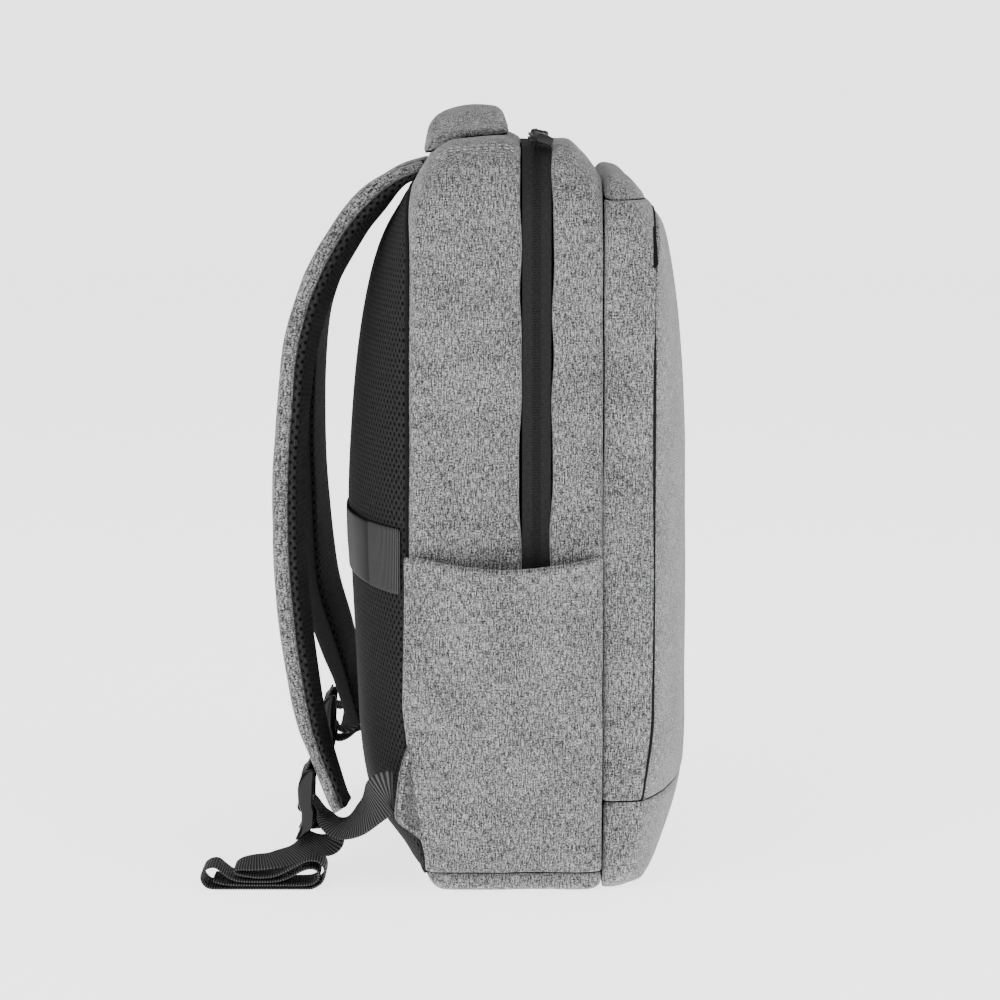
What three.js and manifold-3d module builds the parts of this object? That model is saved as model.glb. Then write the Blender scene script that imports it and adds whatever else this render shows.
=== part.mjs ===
// Laptop backpack, standing on its base, in millimetres.
// X points to the wearer's right, Y towards the wearer's back and Z up.
// The origin is the middle of the base's bottom face.
import * as THREE from 'three';
import { mergeVertices } from 'three/addons/utils/BufferGeometryUtils.js';
import Module from 'manifold-3d';

const wasm = await Module();
wasm.setup();

// Driving sizes. The pocket's topSeam and the tab's low and high are measured
// down from the top; the straps' low ends from the floor.
const seamGap = 0.3;
const clothWall = 2.5;
const main = {
  height: 431, width: 290, depth: 108, frontY: -41.2, cornerTop: 40, cornerBottom: 20, barrel: 0.6,
};
const pocket = { depth: 29.5, crown: 24.5, baseSeam: 52, topSeam: 35 };
const base = { height: 11 };
const zip = { front: -12.4, back: 5.1, low: 150, tapeDepth: 1, tape: 1.2, coilWide: 6, coilHigh: 1.1 };
const slider = {
  atX: -94, pitch: 24, length: 9, width: 9, body: 2.8, bridge: 2.4, wall: 1.2, play: 0.9,
  ledge: 0.6, taper: 0.9, eyePlay: 1, eyeRoof: 0.35,
};
const pull = { wire: 1.4, ring: 18, ringWide: 8.6, grip: 13, gripWide: 9.6, gripThick: 5, edge: 0.9 };
const pad = { middle: 0.46, bulge: 40.4, shellPart: 0.6, rim: 2.6 };
const band = { low: 171, high: 209, thick: 1.3, webLength: 38, seat: 0.6 };
const side = { low: 12, high: 194, sag: 6, bulge: 12, wrap: 4, wall: 1.6, seat: 1.3 };
const strap = {
  seamHigh: 0.9542, seamIn: 0.7, reach: 77, low: 39.3, farLow: 57.3, width: 60, thick: 9.5, mesh: 2.3,
  layerGap: 0.66,
};
const webbing = { width: 25, thick: 1.4, layerGap: 0.7 };
const buckle = { height: 42, rail: 3.6, bar: 2, depth: 8, play: 1, lip: 5.04 };
const wing = {
  thick: 3, low: 30.8, high: 85.7, edgeLow: 43.4, edgeHigh: 70, reachLow: 13, reachHigh: 6.4, seat: 1.2,
};
const handle = { place: 0.72, width: 51, grip: 34, span: 138, rise: 9, cover: 4.6, lining: 2 };
const tab = { low: 74, high: 51, width: 4, thick: 1.5 };

const halfWidth = main.width / 2;
const rearY = main.frontY + main.depth;
const middleZ = main.height * pad.middle;

// Sections of the main section from the front crease to the rear seam.
// back is a share of the depth, top and lift of the height, half of the half width.
const mainSections = [
  { back: 0.0, top: 0.942, half: 0.975, lift: 0.006 },
  { back: 0.03, top: 0.956, half: 0.985, lift: 0 },
  { back: 0.085, top: 0.973, half: 0.993, lift: 0 },
  { back: 0.17, top: 0.99, half: 0.999, lift: 0 },
  { back: 0.263, top: 0.989, half: 0.99, lift: 0 },
  { back: 0.432, top: 0.99, half: 0.99, lift: 0 },
  { back: 0.52, top: 1.0, half: 1.0, lift: 0 },
  { back: 0.8, top: 0.996, half: 1.0, lift: 0 },
  { back: 0.91, top: 0.981, half: 0.995, lift: 0 },
  { back: 0.96, top: 0.964, half: 0.988, lift: 0.003 },
  { back: 1.0, top: 0.94, half: 0.975, lift: 0.012 },
];

// Sections of the front pocket from the crease to its front seam; turn and foot
// are shares of the main section's top and bottom corner radii.
const pocketSections = [
  { out: 0.0, top: 0.94, half: 0.972, turn: 1.0, foot: 1.0 },
  { out: 0.17, top: 0.953, half: 0.985, turn: 1.05, foot: 1.05 },
  { out: 0.45, top: 0.95, half: 0.985, turn: 1.08, foot: 1.2 },
  { out: 0.75, top: 0.93, half: 0.98, turn: 1.1, foot: 1.6 },
  { out: 1.0, top: 0.907, half: 0.965, turn: 1.12, foot: 2.1 },
];

// Where the rear seam lies at each height: back is a share of the depth
const rearSeam = [
  { up: 0, back: 0.914 },
  { up: 0.044, back: 0.921 },
  { up: 0.084, back: 0.957 },
  { up: 0.151, back: 1.0 },
  { up: 0.21, back: 1.016 },
  { up: 0.4, back: 1.006 },
  { up: 0.9, back: 1.002 },
  { up: 1.0, back: 0.965 },
];

// Where the front seam lies at each height: out is a share of the pocket's depth
const frontSeam = [
  { up: 0, out: 0.55 },
  { up: 0.128, out: 0.81 },
  { up: 0.24, out: 1.0 },
  { up: 1.0, out: 1.0 },
];

// Crown of the back pad and of the front panel at each height
const padCrown = [
  { up: 0, crown: 0.3 },
  { up: 0.03, crown: 0.42 },
  { up: 0.08, crown: 0.83 },
  { up: 0.195, crown: 0.84 },
  { up: 0.34, crown: 0.91 },
  { up: 0.485, crown: 1.0 },
  { up: 0.625, crown: 0.94 },
  { up: 0.766, crown: 0.75 },
  { up: 0.85, crown: 0.53 },
  { up: 0.945, crown: 0.04 },
  { up: 1.0, crown: 0 },
];
const frontCrown = [
  { up: 0, crown: 0.72 },
  { up: 0.019, crown: 0.9 },
  { up: 0.07, crown: 1.12 },
  { up: 0.123, crown: 1.22 },
  { up: 0.24, crown: 1.0 },
  { up: 0.48, crown: 1.0 },
  { up: 0.65, crown: 0.95 },
  { up: 0.765, crown: 0.8 },
  { up: 0.835, crown: 0.6 },
  { up: 0.884, crown: 0.35 },
  { up: 0.907, crown: 0 },
  { up: 1.0, crown: 0 },
];
const rearRings = [0.985, 0.972, 0.93, 0.83, 0.66, 0.4];
const frontRings = [0.995, 0.96, 0.9, 0.78, 0.58, 0.32];

// Middle line of a shoulder strap from its seam down to its lower end.
// out is a share of the reach, down of the drop to its lower end, side of the half width,
// wide of the strap's width, thick of its thickness; turn is in degrees.
const strapRows = [
  { down: 0, out: -0.018, far: -0.018, side: 0.36, wide: 0.95, thick: 0.45, turn: 0, farTurn: 0 },
  { down: 0.0134, out: 0.152, far: 0.152, side: 0.365, wide: 0.97, thick: 0.75, turn: -1, farTurn: 0 },
  { down: 0.043, out: 0.334, far: 0.334, side: 0.375, wide: 1, thick: 1, turn: -2, farTurn: 1 },
  { down: 0.0734, out: 0.466, far: 0.466, side: 0.385, wide: 1, thick: 1, turn: -2, farTurn: 1 },
  { down: 0.1145, out: 0.6, far: 0.6, side: 0.4, wide: 1, thick: 1, turn: -3, farTurn: 2 },
  { down: 0.156, out: 0.713, far: 0.713, side: 0.415, wide: 1, thick: 1, turn: -3, farTurn: 2 },
  { down: 0.201, out: 0.803, far: 0.803, side: 0.43, wide: 1, thick: 1, turn: -4, farTurn: 3 },
  { down: 0.2465, out: 0.874, far: 0.87, side: 0.44, wide: 1, thick: 1, turn: -4, farTurn: 3 },
  { down: 0.2975, out: 0.925, far: 0.915, side: 0.455, wide: 1, thick: 1, turn: -4, farTurn: 4 },
  { down: 0.3636, out: 0.958, far: 0.94, side: 0.475, wide: 1, thick: 1, turn: -4, farTurn: 4 },
  { down: 0.4684, out: 0.999, far: 0.955, side: 0.49, wide: 0.98, thick: 1, turn: -4, farTurn: 5 },
  { down: 0.5808, out: 1, far: 0.94, side: 0.51, wide: 0.97, thick: 1, turn: -4, farTurn: 6 },
  { down: 0.67, out: 0.973, far: 0.915, side: 0.53, wide: 0.95, thick: 1, turn: -4, farTurn: 8 },
  { down: 0.7525, out: 0.927, far: 0.87, side: 0.55, wide: 0.93, thick: 1, turn: -4, farTurn: 10 },
  { down: 0.8538, out: 0.842, far: 0.735, side: 0.6, wide: 0.88, thick: 0.92, turn: -3, farTurn: 10 },
  { down: 0.9118, out: 0.75, far: 0.655, side: 0.63, wide: 0.85, thick: 0.72, turn: -2, farTurn: 8 },
  { down: 0.9777, out: 0.626, far: 0.585, side: 0.68, wide: 0.82, thick: 0.65, turn: 0, farTurn: 6 },
  { down: 1.0, out: 0.57, far: 0.56, side: 0.69, wide: 0.81, thick: 0.6, turn: 0, farTurn: 5 },
];

// Routes of the webbing as points chosen by hand: side is measured outwards from
// the body's half width, back from its rear seam and z from the floor; face is
// the direction of the webbing's width in degrees, 0 across the body and 90 upright.
const leftRoute = [
  { side: -4.6, back: 11.6, z: 57.4, face: 90 },
  { side: -4.7, back: 14.2, z: 57.2, face: 90 },
  { side: -5.8, back: 17.6, z: 55.4, face: 87 },
  { side: -8, back: 22.2, z: 49.8, face: 78 },
  { side: -13, back: 28.2, z: 42, face: 55 },
  { side: -20, back: 35.2, z: 36.8, face: 33 },
  { side: -29, back: 42.2, z: 33.8, face: 14 },
  { side: -37, back: 48.9, z: 34.8, face: 4 },
  { side: -41, back: 54.5, z: 39.4, face: 0 },
  { side: -42, back: 58.7, z: 44.8, face: 0 },
];
const rightRoute = [
  { side: -4.9, back: 10, z: 56.8, face: 90 },
  { side: -5, back: 12.2, z: 56.9, face: 90 },
  { side: -5.6, back: 18.2, z: 57.4, face: 88 },
  { side: -7.5, back: 26.2, z: 59, face: 80 },
  { side: -11, back: 32.7, z: 59, face: 62 },
  { side: -17, back: 38, z: 56, face: 40 },
  { side: -25.5, back: 42.2, z: 52.4, face: 14 },
  { side: -35, back: 46.7, z: 48.4, face: 4 },
  { side: -41, back: 51.7, z: 46.4, face: 0 },
  { side: -42, back: 55.6, z: 48.6, face: 0 },
];
const leftFall = [
  { side: -42, back: 59.5, z: 37.6, face: 0 },
  { side: -40, back: 53.8, z: 33, face: 0 },
];
const rightFall = [
  { side: -42, back: 59.6, z: 42.8, face: 0 },
  { side: -41.5, back: 54.8, z: 40.6, face: 0 },
  { side: -40, back: 49.8, z: 41.6, face: 0 },
  { side: -38, back: 45.4, z: 44.2, face: 0 },
  { side: -36, back: 41.2, z: 45.6, face: 5 },
  { side: -33, back: 36.8, z: 43.5, face: 18 },
  { side: -30, back: 33, z: 39.5, face: 38 },
  { side: -29, back: 29.2, z: 35, face: 58 },
  { side: -30.5, back: 25.2, z: 31, face: 76 },
];
// Folded tail on the floor: along runs from the fold nearest the body, lift
// counts layers of webbing, tilt raises the far edge in degrees, and drift is
// how much of the way it still lies to the side, under the buckle.
const tailRows = [
  { along: -1, lift: 12.6, tilt: 0, drift: 0.78 },
  { along: 1.8, lift: 10.5, tilt: 0, drift: 0.62 },
  { along: 7.5, lift: 9.4, tilt: -2, drift: 0.46 },
  { along: 14, lift: 8.5, tilt: -2, drift: 0.3 },
  { along: 23, lift: 7.2, tilt: 5, drift: 0.14 },
  { along: 32, lift: 6.5, tilt: 8, drift: 0.04 },
  { along: 41, lift: 6.15, tilt: 8, drift: 0 },
  { along: 48, lift: 5.85, tilt: 4, drift: 0 },
  { along: 51.5, lift: 5.3, tilt: 0, drift: 0 },
  { along: 52.3, lift: 4.75, tilt: 0, drift: 0 },
  { along: 51, lift: 4.2, tilt: 0, drift: 0 },
  { along: 46, lift: 3.6, tilt: 0, drift: 0 },
  { along: 38, lift: 3.15, tilt: 0, drift: 0 },
  { along: 29, lift: 3.6, tilt: 0, drift: 0 },
  { along: 21, lift: 5.3, tilt: 0, drift: 0 },
  { along: 13.5, lift: 7.3, tilt: 0, drift: 0 },
  { along: 8, lift: 8, tilt: 0, drift: 0 },
  { along: 3, lift: 7.4, tilt: 0, drift: 0 },
  { along: 0, lift: 5, tilt: 0, drift: 0 },
  { along: 1.8, lift: 1.9, tilt: 0, drift: 0 },
  { along: 7, lift: 0.25, tilt: 0, drift: 0 },
  { along: 13, lift: 0, tilt: 0, drift: 0 },
  { along: 38, lift: 0, tilt: 0, drift: 0 },
  { along: 63, lift: 0, tilt: 0, drift: 0 },
  { along: 69, lift: 0.8, tilt: 0, drift: 0 },
  { along: 71.5, lift: 3, tilt: 0, drift: 0 },
  { along: 69, lift: 5.4, tilt: 0, drift: 0 },
  { along: 63.5, lift: 6.1, tilt: 0, drift: 0 },
  { along: 59.5, lift: 4.7, tilt: 0, drift: 0 },
  { along: 55.5, lift: 3.2, tilt: 0, drift: 0 },
  { along: 50, lift: 2.2, tilt: 0, drift: 0 },
  { along: 41, lift: 2, tilt: 0, drift: 0 },
  { along: 28, lift: 2.1, tilt: 0, drift: 0 },
  { along: 20, lift: 3.4, tilt: 0, drift: 0 },
  { along: 13, lift: 5.2, tilt: 0, drift: 0 },
  { along: 8, lift: 5.7, tilt: 0, drift: 0 },
  { along: 4.2, lift: 5, tilt: 0, drift: 0 },
  { along: 4, lift: 2.7, tilt: 0, drift: 0 },
  { along: 8, lift: 1.3, tilt: 0, drift: 0 },
  { along: 14, lift: 1, tilt: 0, drift: 0 },
  { along: 30, lift: 1, tilt: 0, drift: 0 },
  { along: 52, lift: 1.05, tilt: 0, drift: 0 },
  { along: 60, lift: 1.5, tilt: 0, drift: 0 },
  { along: 65, lift: 2.3, tilt: 0, drift: 0 },
];

// Value of a table at a place, straight between its rows
function read(rows, key, at, value) {
  if (at <= rows[0][key]) return rows[0][value];
  for (let i = 1; i < rows.length; i += 1) {
    const a = rows[i - 1];
    const b = rows[i];
    if (at <= b[key]) {
      return a[value] + ((b[value] - a[value]) * (at - a[key])) / (b[key] - a[key]);
    }
  }
  return rows[rows.length - 1][value];
}

function rearEdge(z) {
  return main.frontY + main.depth * read(rearSeam, 'up', z / main.height, 'back');
}

function frontEdge(z) {
  return main.frontY - pocket.depth * read(frontSeam, 'up', z / main.height, 'out');
}

// Rounded outline of one section in X and Z, as a closed ring of points
function outline(half, low, high, topRadius, footRadius) {
  const right = [];
  const foot = Math.max(footRadius, 1);
  const turn = Math.max(topRadius, 1);
  for (const share of [0, 0.5]) right.push([share * (half - foot), low]);
  for (let i = 0; i <= 3; i += 1) {
    const a = (i / 3) * (Math.PI / 2);
    right.push([half - foot + foot * Math.sin(a), low + foot - foot * Math.cos(a)]);
  }
  const sideLow = low + foot;
  const sideHigh = high - turn;
  for (const share of [0.12, 0.28, 0.45, 0.62, 0.8]) {
    const bow = 1 - (2 * share - 1) ** 2;
    right.push([half + main.barrel * bow, sideLow + (sideHigh - sideLow) * share]);
  }
  for (let i = 0; i <= 5; i += 1) {
    const a = (i / 5) * (Math.PI / 2);
    right.push([half - turn + turn * Math.cos(a), high - turn + turn * Math.sin(a)]);
  }
  right.push([0.5 * (half - turn), high]);
  const ring = right.map(([x, z]) => [x, z]);
  ring.push([0, high]);
  for (let i = right.length - 1; i > 0; i -= 1) ring.push([-right[i][0], right[i][1]]);
  return ring;
}

function mainOutline(share, inset) {
  const get = (value) => read(mainSections, 'back', share, value);
  return outline(
    halfWidth * get('half') - inset,
    main.height * get('lift') + inset,
    main.height * get('top') - inset,
    main.cornerTop - inset,
    main.cornerBottom - inset,
  );
}

function pocketOutline(share, inset) {
  const get = (value) => read(pocketSections, 'out', share, value);
  return outline(
    halfWidth * get('half') - inset,
    inset,
    main.height * get('top') - inset,
    main.cornerTop * get('turn') - inset,
    main.cornerBottom * get('foot') - inset,
  );
}

// Where the walls of the main section stand along Y, leaning with the rear seam
function sectionY(share, z) {
  const follow = Math.max(0, 2 * share - 1);
  return main.frontY + main.depth * share + (rearEdge(z) - rearY) * follow;
}

// Half width of the main section's side at a section and a height
function sideX(share, z) {
  const ring = mainOutline(share, 0);
  for (let i = 1; i < ring.length; i += 1) {
    const [ax, az] = ring[i - 1];
    const [bx, bz] = ring[i];
    if (bx > 0 && z >= az && z <= bz && bz > az) return ax + ((bx - ax) * (z - az)) / (bz - az);
  }
  return halfWidth;
}

// Depth of a padded surface behind the rear seam and of the front panel
function rearDome(x, z, part) {
  const edge = halfWidth * mainSections[mainSections.length - 1].half;
  const round = Math.max(0, 1 - (x / edge) ** 2) ** 0.8;
  return rearEdge(z) + part * pad.bulge * read(padCrown, 'up', z / main.height, 'crown') * round;
}

function frontDome(x, z) {
  const edge = halfWidth * pocketSections[pocketSections.length - 1].half;
  const round = Math.max(0, 1 - (x / edge) ** 2) ** 0.75;
  return frontEdge(z) - pocket.crown * read(frontCrown, 'up', z / main.height, 'crown') * round;
}

function shrink(ring, share) {
  return ring.map(([x, z]) => [x * share, middleZ + (z - middleZ) * share]);
}

function geometryFrom(points, faces) {
  const geometry = new THREE.BufferGeometry();
  const positions = points.flatMap((p) => [p.x, p.y, p.z]);
  geometry.setAttribute('position', new THREE.Float32BufferAttribute(positions, 3));
  geometry.setIndex(faces);
  return geometry;
}

// Closed surface through rings of points; an end is a point, a flat face or,
// where both ends are left open, the first ring again.
function skin(rings, start, end) {
  const count = rings[0].length;
  const points = rings.flat();
  const faces = [];
  const quad = (a, b, i) => {
    const j = (i + 1) % count;
    faces.push(a * count + i, b * count + i, b * count + j);
    faces.push(a * count + i, b * count + j, a * count + j);
  };
  for (let r = 0; r + 1 < rings.length; r += 1) {
    for (let i = 0; i < count; i += 1) quad(r, r + 1, i);
  }
  if (!start) {
    for (let i = 0; i < count; i += 1) quad(rings.length - 1, 0, i);
  } else {
    const last = (rings.length - 1) * count;
    points.push(start, end);
    for (let i = 0; i < count; i += 1) {
      const j = (i + 1) % count;
      faces.push(points.length - 2, i, j);
      faces.push(points.length - 1, last + j, last + i);
    }
  }
  return outward(geometryFrom(points, faces));
}

function outward(geometry) {
  const p = geometry.attributes.position;
  const index = geometry.index.array;
  const [a, b, c] = [new THREE.Vector3(), new THREE.Vector3(), new THREE.Vector3()];
  let volume = 0;
  for (let i = 0; i < index.length; i += 3) {
    a.fromBufferAttribute(p, index[i]);
    b.fromBufferAttribute(p, index[i + 1]);
    c.fromBufferAttribute(p, index[i + 2]);
    volume += a.dot(b.cross(c));
  }
  if (volume < 0) {
    for (let i = 0; i < index.length; i += 3) [index[i], index[i + 1]] = [index[i + 1], index[i]];
  }
  return geometry;
}

function solidOf(geometry) {
  const bare = geometry.clone();
  bare.deleteAttribute('normal');
  bare.deleteAttribute('uv');
  const merged = mergeVertices(bare, 1e-4);
  const vertProperties = new Float32Array(merged.attributes.position.array);
  const triVerts = new Uint32Array(merged.index.array);
  return new wasm.Manifold(new wasm.Mesh({ numProp: 3, vertProperties, triVerts }));
}

function geometryOf(solid) {
  const mesh = solid.getMesh();
  const geometry = new THREE.BufferGeometry();
  geometry.setAttribute('position', new THREE.Float32BufferAttribute(mesh.vertProperties, 3));
  geometry.setIndex(Array.from(mesh.triVerts));
  return geometry;
}

// A cut along a seam can leave crumbs where two curved faces cross
function largest(solid) {
  const pieces = solid.decompose();
  return pieces.reduce((best, piece) => (piece.volume() > best.volume() ? piece : best));
}

function boxSolid(x0, x1, y0, y1, z0, z1) {
  const geometry = new THREE.BoxGeometry(x1 - x0, y1 - y0, z1 - z0);
  geometry.translate((x0 + x1) / 2, (y0 + y1) / 2, (z0 + z1) / 2);
  return solidOf(geometry);
}

// Flat shape in Y and Z, with its thickness along X and centred on x
function plateYZ(shape, x, thick) {
  const geometry = new THREE.ExtrudeGeometry(shape, { depth: thick, bevelEnabled: false });
  const turned = new THREE.Matrix4().set(0, 0, 1, x - thick / 2, 1, 0, 0, 0, 0, 1, 0, 0, 0, 0, 0, 1);
  return geometry.applyMatrix4(turned);
}

function middle(ring) {
  const sum = new THREE.Vector3();
  for (const p of ring) sum.add(p);
  return sum.divideScalar(ring.length);
}

function toRing(outlinePoints, yAt) {
  return outlinePoints.map(([x, z]) => new THREE.Vector3(x, yAt(x, z), z));
}

// Main section's outer or inner surface
function mainBody(inset) {
  const rings = mainSections.map((row) => {
    const share = row.back;
    const warp = (x, z) => {
      const y = Math.max(sectionY(share, z), main.frontY + inset);
      return share === 1 ? y - inset : y;
    };
    return toRing(mainOutline(share, inset), warp);
  });
  const rim = mainOutline(1, inset);
  for (const share of rearRings) {
    rings.push(toRing(shrink(rim, share), (x, z) => rearDome(x, z, pad.shellPart) - inset));
  }
  const front = new THREE.Vector3(0, main.frontY + inset, middleZ);
  const back = new THREE.Vector3(0, rearDome(0, middleZ, pad.shellPart) - inset, middleZ);
  return skin(rings, front, back);
}

// Front pocket's outer or inner surface; the inner one runs out at the back
function pocketBody(inset) {
  const start = main.frontY - seamGap + (inset > 0 ? inset : 0);
  const rings = pocketSections.map((row) => {
    const at = (x, z) => {
      const far = frontEdge(z);
      return row.out === 0 ? start : main.frontY - seamGap + (far - main.frontY + seamGap) * row.out;
    };
    return toRing(pocketOutline(row.out, inset), at);
  });
  const rim = pocketOutline(1, inset);
  for (const share of frontRings) {
    rings.push(toRing(shrink(rim, share), (x, z) => frontDome(x, z) + inset));
  }
  const back = new THREE.Vector3(0, start, middleZ);
  const front = new THREE.Vector3(0, frontDome(0, middleZ) + inset, middleZ);
  return skin(rings, back, front);
}

// Band that follows the main section's outline at the zip, between two insets
function zipBand(yFront, yBack, shallow, deep) {
  const share = ((yFront + yBack) / 2 - main.frontY) / main.depth;
  const at = (inset, y) => toRing(mainOutline(share, inset), () => y);
  const rings = [at(shallow, yFront), at(shallow, yBack), at(deep, yBack), at(deep, yFront)];
  return solidOf(skin(rings, null, null));
}

function zipPart(yFront, yBack, shallow, deep, low) {
  const room = main.width;
  const above = boxSolid(-room, room, -room, room, low, main.height * 2);
  return zipBand(yFront, yBack, shallow, deep).intersect(above);
}

function shellSolids() {
  const walls = solidOf(mainBody(0)).subtract(solidOf(mainBody(clothWall)));
  const room = main.width;
  const above = boxSolid(-room, room, -room, room, base.height + seamGap / 2, main.height * 2);
  const below = boxSolid(-room, room, -room, room, -room, base.height - seamGap / 2);
  const slot = zipPart(zip.front, zip.back, -clothWall, clothWall + 1, zip.low);
  return {
    shell: walls.intersect(above).subtract(slot),
    tray: walls.intersect(below),
  };
}

// Region in front of the front panel's seam, moved by an offset along Y
function aheadOfSeam(offset) {
  const far = main.frontY - pocket.depth - pocket.crown * 3;
  const shape = new THREE.Shape();
  shape.moveTo(frontEdge(0) + offset, -base.height);
  for (const row of frontSeam) shape.lineTo(frontEdge(row.up * main.height) + offset, row.up * main.height);
  shape.lineTo(far, main.height);
  shape.lineTo(far, -base.height);
  shape.closePath();
  return solidOf(plateYZ(shape, 0, main.width * 1.2));
}

function pocketSolids() {
  const walls = solidOf(pocketBody(0)).subtract(solidOf(pocketBody(clothWall)));
  const room = main.width;
  const gap = seamGap / 2;
  const above = boxSolid(-room, room, -room, room, pocket.baseSeam + gap, main.height * 2);
  const below = boxSolid(-room, room, -room, room, -room, pocket.baseSeam - gap);
  const top = boxSolid(-room, room, -room, room, main.height - pocket.topSeam + gap, main.height * 2);
  const underTop = boxSolid(-room, room, -room, room, -room, main.height - pocket.topSeam - gap);
  const body = walls.intersect(above);
  const gusset = body.subtract(aheadOfSeam(gap));
  const sides = gusset.intersect(underTop);
  return {
    base: walls.intersect(below),
    panel: largest(body.intersect(aheadOfSeam(-gap))),
    left: largest(sides.intersect(boxSolid(-room, -gap, -room, room, -room, room * 2))),
    right: largest(sides.intersect(boxSolid(gap, room, -room, room, -room, room * 2))),
    top: gusset.intersect(top),
  };
}

// Padded panel over the rear wall
function padOuter(x, z) {
  return rearDome(x, z, 1) + pad.rim / 2;
}

function backPad() {
  const rim = mainOutline(1, 0);
  const rows = rearRings.slice(1);
  const edge = rows[0];
  const under = (x, z) => rearDome(x, z, pad.shellPart) + seamGap;
  const over = (share) => (share === edge ? (x, z) => under(x, z) + pad.rim : padOuter);
  const outer = rows.map((share) => toRing(shrink(rim, share), over(share)));
  const inner = rows.map((share) => toRing(shrink(rim, share), under));
  const rings = [...outer.reverse(), ...inner];
  const inside = new THREE.Vector3(0, under(0, middleZ), middleZ);
  const outside = new THREE.Vector3(0, padOuter(0, middleZ), middleZ);
  return skin(rings, outside, inside);
}

// Strip laid over the back pad between two places across it
function padStrip(x0, x1, steps) {
  const { low, high } = band;
  const top = band.seat + band.thick;
  const rings = [];
  for (let i = 0; i <= steps; i += 1) {
    const x = x0 + ((x1 - x0) * i) / steps;
    const at = (z, off) => new THREE.Vector3(x, padOuter(x, z) + off, z);
    const mid = (low + high) / 2;
    rings.push([
      at(low, band.seat), at(mid, band.seat), at(high, band.seat),
      at(high, top), at(mid, top), at(low, top),
    ]);
  }
  return skin(rings, middle(rings[0]), middle(rings[rings.length - 1]));
}

// Open cloth pocket on the side, bulging away from it towards its top
const pocketColumns = mainSections.map((row) => row.back);
const pocketRows = [0, 0.044, 0.15, 0.3, 0.45, 0.6, 0.75, 0.88, 1];

function sidePocket(sign) {
  const surface = (share, v, off) => {
    const across = Math.sin(Math.PI * share);
    const high = side.high - side.sag * across;
    const z = side.low + (high - side.low) * v;
    const bulge = side.bulge * across ** 0.8 * v ** 1.3;
    const x = sideX(share, z) + side.seat + bulge + off;
    return new THREE.Vector3(sign * x, sectionY(share, z), z);
  };
  const edge = (v, off) => {
    const p = surface(1, v, off);
    p.y += side.wrap * Math.min(1, v * 8) + seamGap;
    return p;
  };
  const at = (share, v, off) => (share > 1 ? edge(v, off) : surface(share, v, off));
  const rings = [...pocketColumns, 2].map((share) => [
    ...pocketRows.map((v) => at(share, v, 0)),
    ...[...pocketRows].reverse().map((v) => at(share, v, side.wall)),
  ]);
  for (const p of rings[0]) p.y += seamGap;
  return closeSheet(rings);
}

// Closes a row of long thin rings whose second half lies over their first
function closeSheet(rings) {
  const count = rings[0].length;
  const points = rings.flat();
  const faces = [];
  for (let r = 0; r + 1 < rings.length; r += 1) {
    for (let i = 0; i < count; i += 1) {
      const j = (i + 1) % count;
      faces.push(r * count + i, (r + 1) * count + i, (r + 1) * count + j);
      faces.push(r * count + i, (r + 1) * count + j, r * count + j);
    }
  }
  const last = (rings.length - 1) * count;
  for (let i = 0; i < count / 2 - 1; i += 1) {
    const j = count - 1 - i;
    faces.push(i, i + 1, j, i + 1, j - 1, j);
    faces.push(last + i, last + j, last + i + 1, last + i + 1, last + j, last + j - 1);
  }
  return outward(geometryFrom(points, faces));
}

// Sweep of a section given in shares of width and thickness along frames
function sweep(frames, section) {
  const rings = frames.map((frame) => section.map(([u, v]) => frame.at.clone()
    .addScaledVector(frame.across, u * frame.width)
    .addScaledVector(frame.normal, v * frame.thick)));
  return skin(rings, middle(rings[0]), middle(rings[rings.length - 1]));
}

function strapFrames(sign) {
  const seamZ = main.height * strap.seamHigh;
  const seamY = rearY - strap.seamIn;
  const points = strapRows.map((row) => new THREE.Vector3(
    sign * halfWidth * row.side,
    seamY + strap.reach * (sign < 0 ? row.out : row.far),
    seamZ - (seamZ - (sign < 0 ? strap.low : strap.farLow)) * row.down,
  ));
  return points.map((at, i) => {
    const row = strapRows[i];
    const before = points[Math.max(i - 1, 0)];
    const after = points[Math.min(i + 1, points.length - 1)];
    const along = after.clone().sub(before).normalize();
    const turn = THREE.MathUtils.degToRad(sign < 0 ? row.turn : -row.farTurn);
    const across = new THREE.Vector3(Math.cos(turn), Math.sin(turn), 0);
    const normal = across.clone().cross(along).normalize();
    return { at, across, normal, width: strap.width * row.wide, thick: strap.thick * row.thick };
  });
}

// Outer layer, with rounded edges, and inner layer of a strap
function strapSections() {
  const split = strap.mesh / strap.thick - 0.5;
  const gap = strap.layerGap / strap.thick;
  return {
    cover: [[-0.5, split + gap], [-0.5, 0.3], [-0.44, 0.5], [0.44, 0.5], [0.5, 0.3], [0.5, split + gap]],
    mesh: [[-0.49, split - gap], [0.49, split - gap], [0.42, -0.5], [-0.42, -0.5]],
  };
}

// Frames of webbing from points with a direction of the width
function webbingFrames(rows) {
  const points = rows.map((row) => new THREE.Vector3(row.x, row.y, row.z));
  return points.map((at, i) => {
    const before = points[Math.max(i - 1, 0)];
    const after = points[Math.min(i + 1, points.length - 1)];
    const along = after.clone().sub(before).normalize();
    const across = rows[i].across.clone();
    across.addScaledVector(along, -across.dot(along)).normalize();
    const normal = along.clone().cross(across).normalize();
    return { at, across, normal, width: webbing.width, thick: webbing.thick };
  });
}

const ribbonSection = [[-0.5, -0.5], [0.5, -0.5], [0.5, 0.5], [-0.5, 0.5]];

function faced(rows, sign, upright) {
  return rows.map((row) => {
    const a = THREE.MathUtils.degToRad(row.face);
    const across = new THREE.Vector3(Math.cos(a), 0, 0).addScaledVector(upright, Math.sin(a));
    return { x: sign * (halfWidth + row.side), y: rearY + row.back, z: row.z, across };
  });
}

// Turns of the webbing round the buckle's bars, in degrees
const barTurns = { top: { from: 70, to: -90 }, grip: { from: 110, to: -60 }, steps: 6 };

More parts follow.
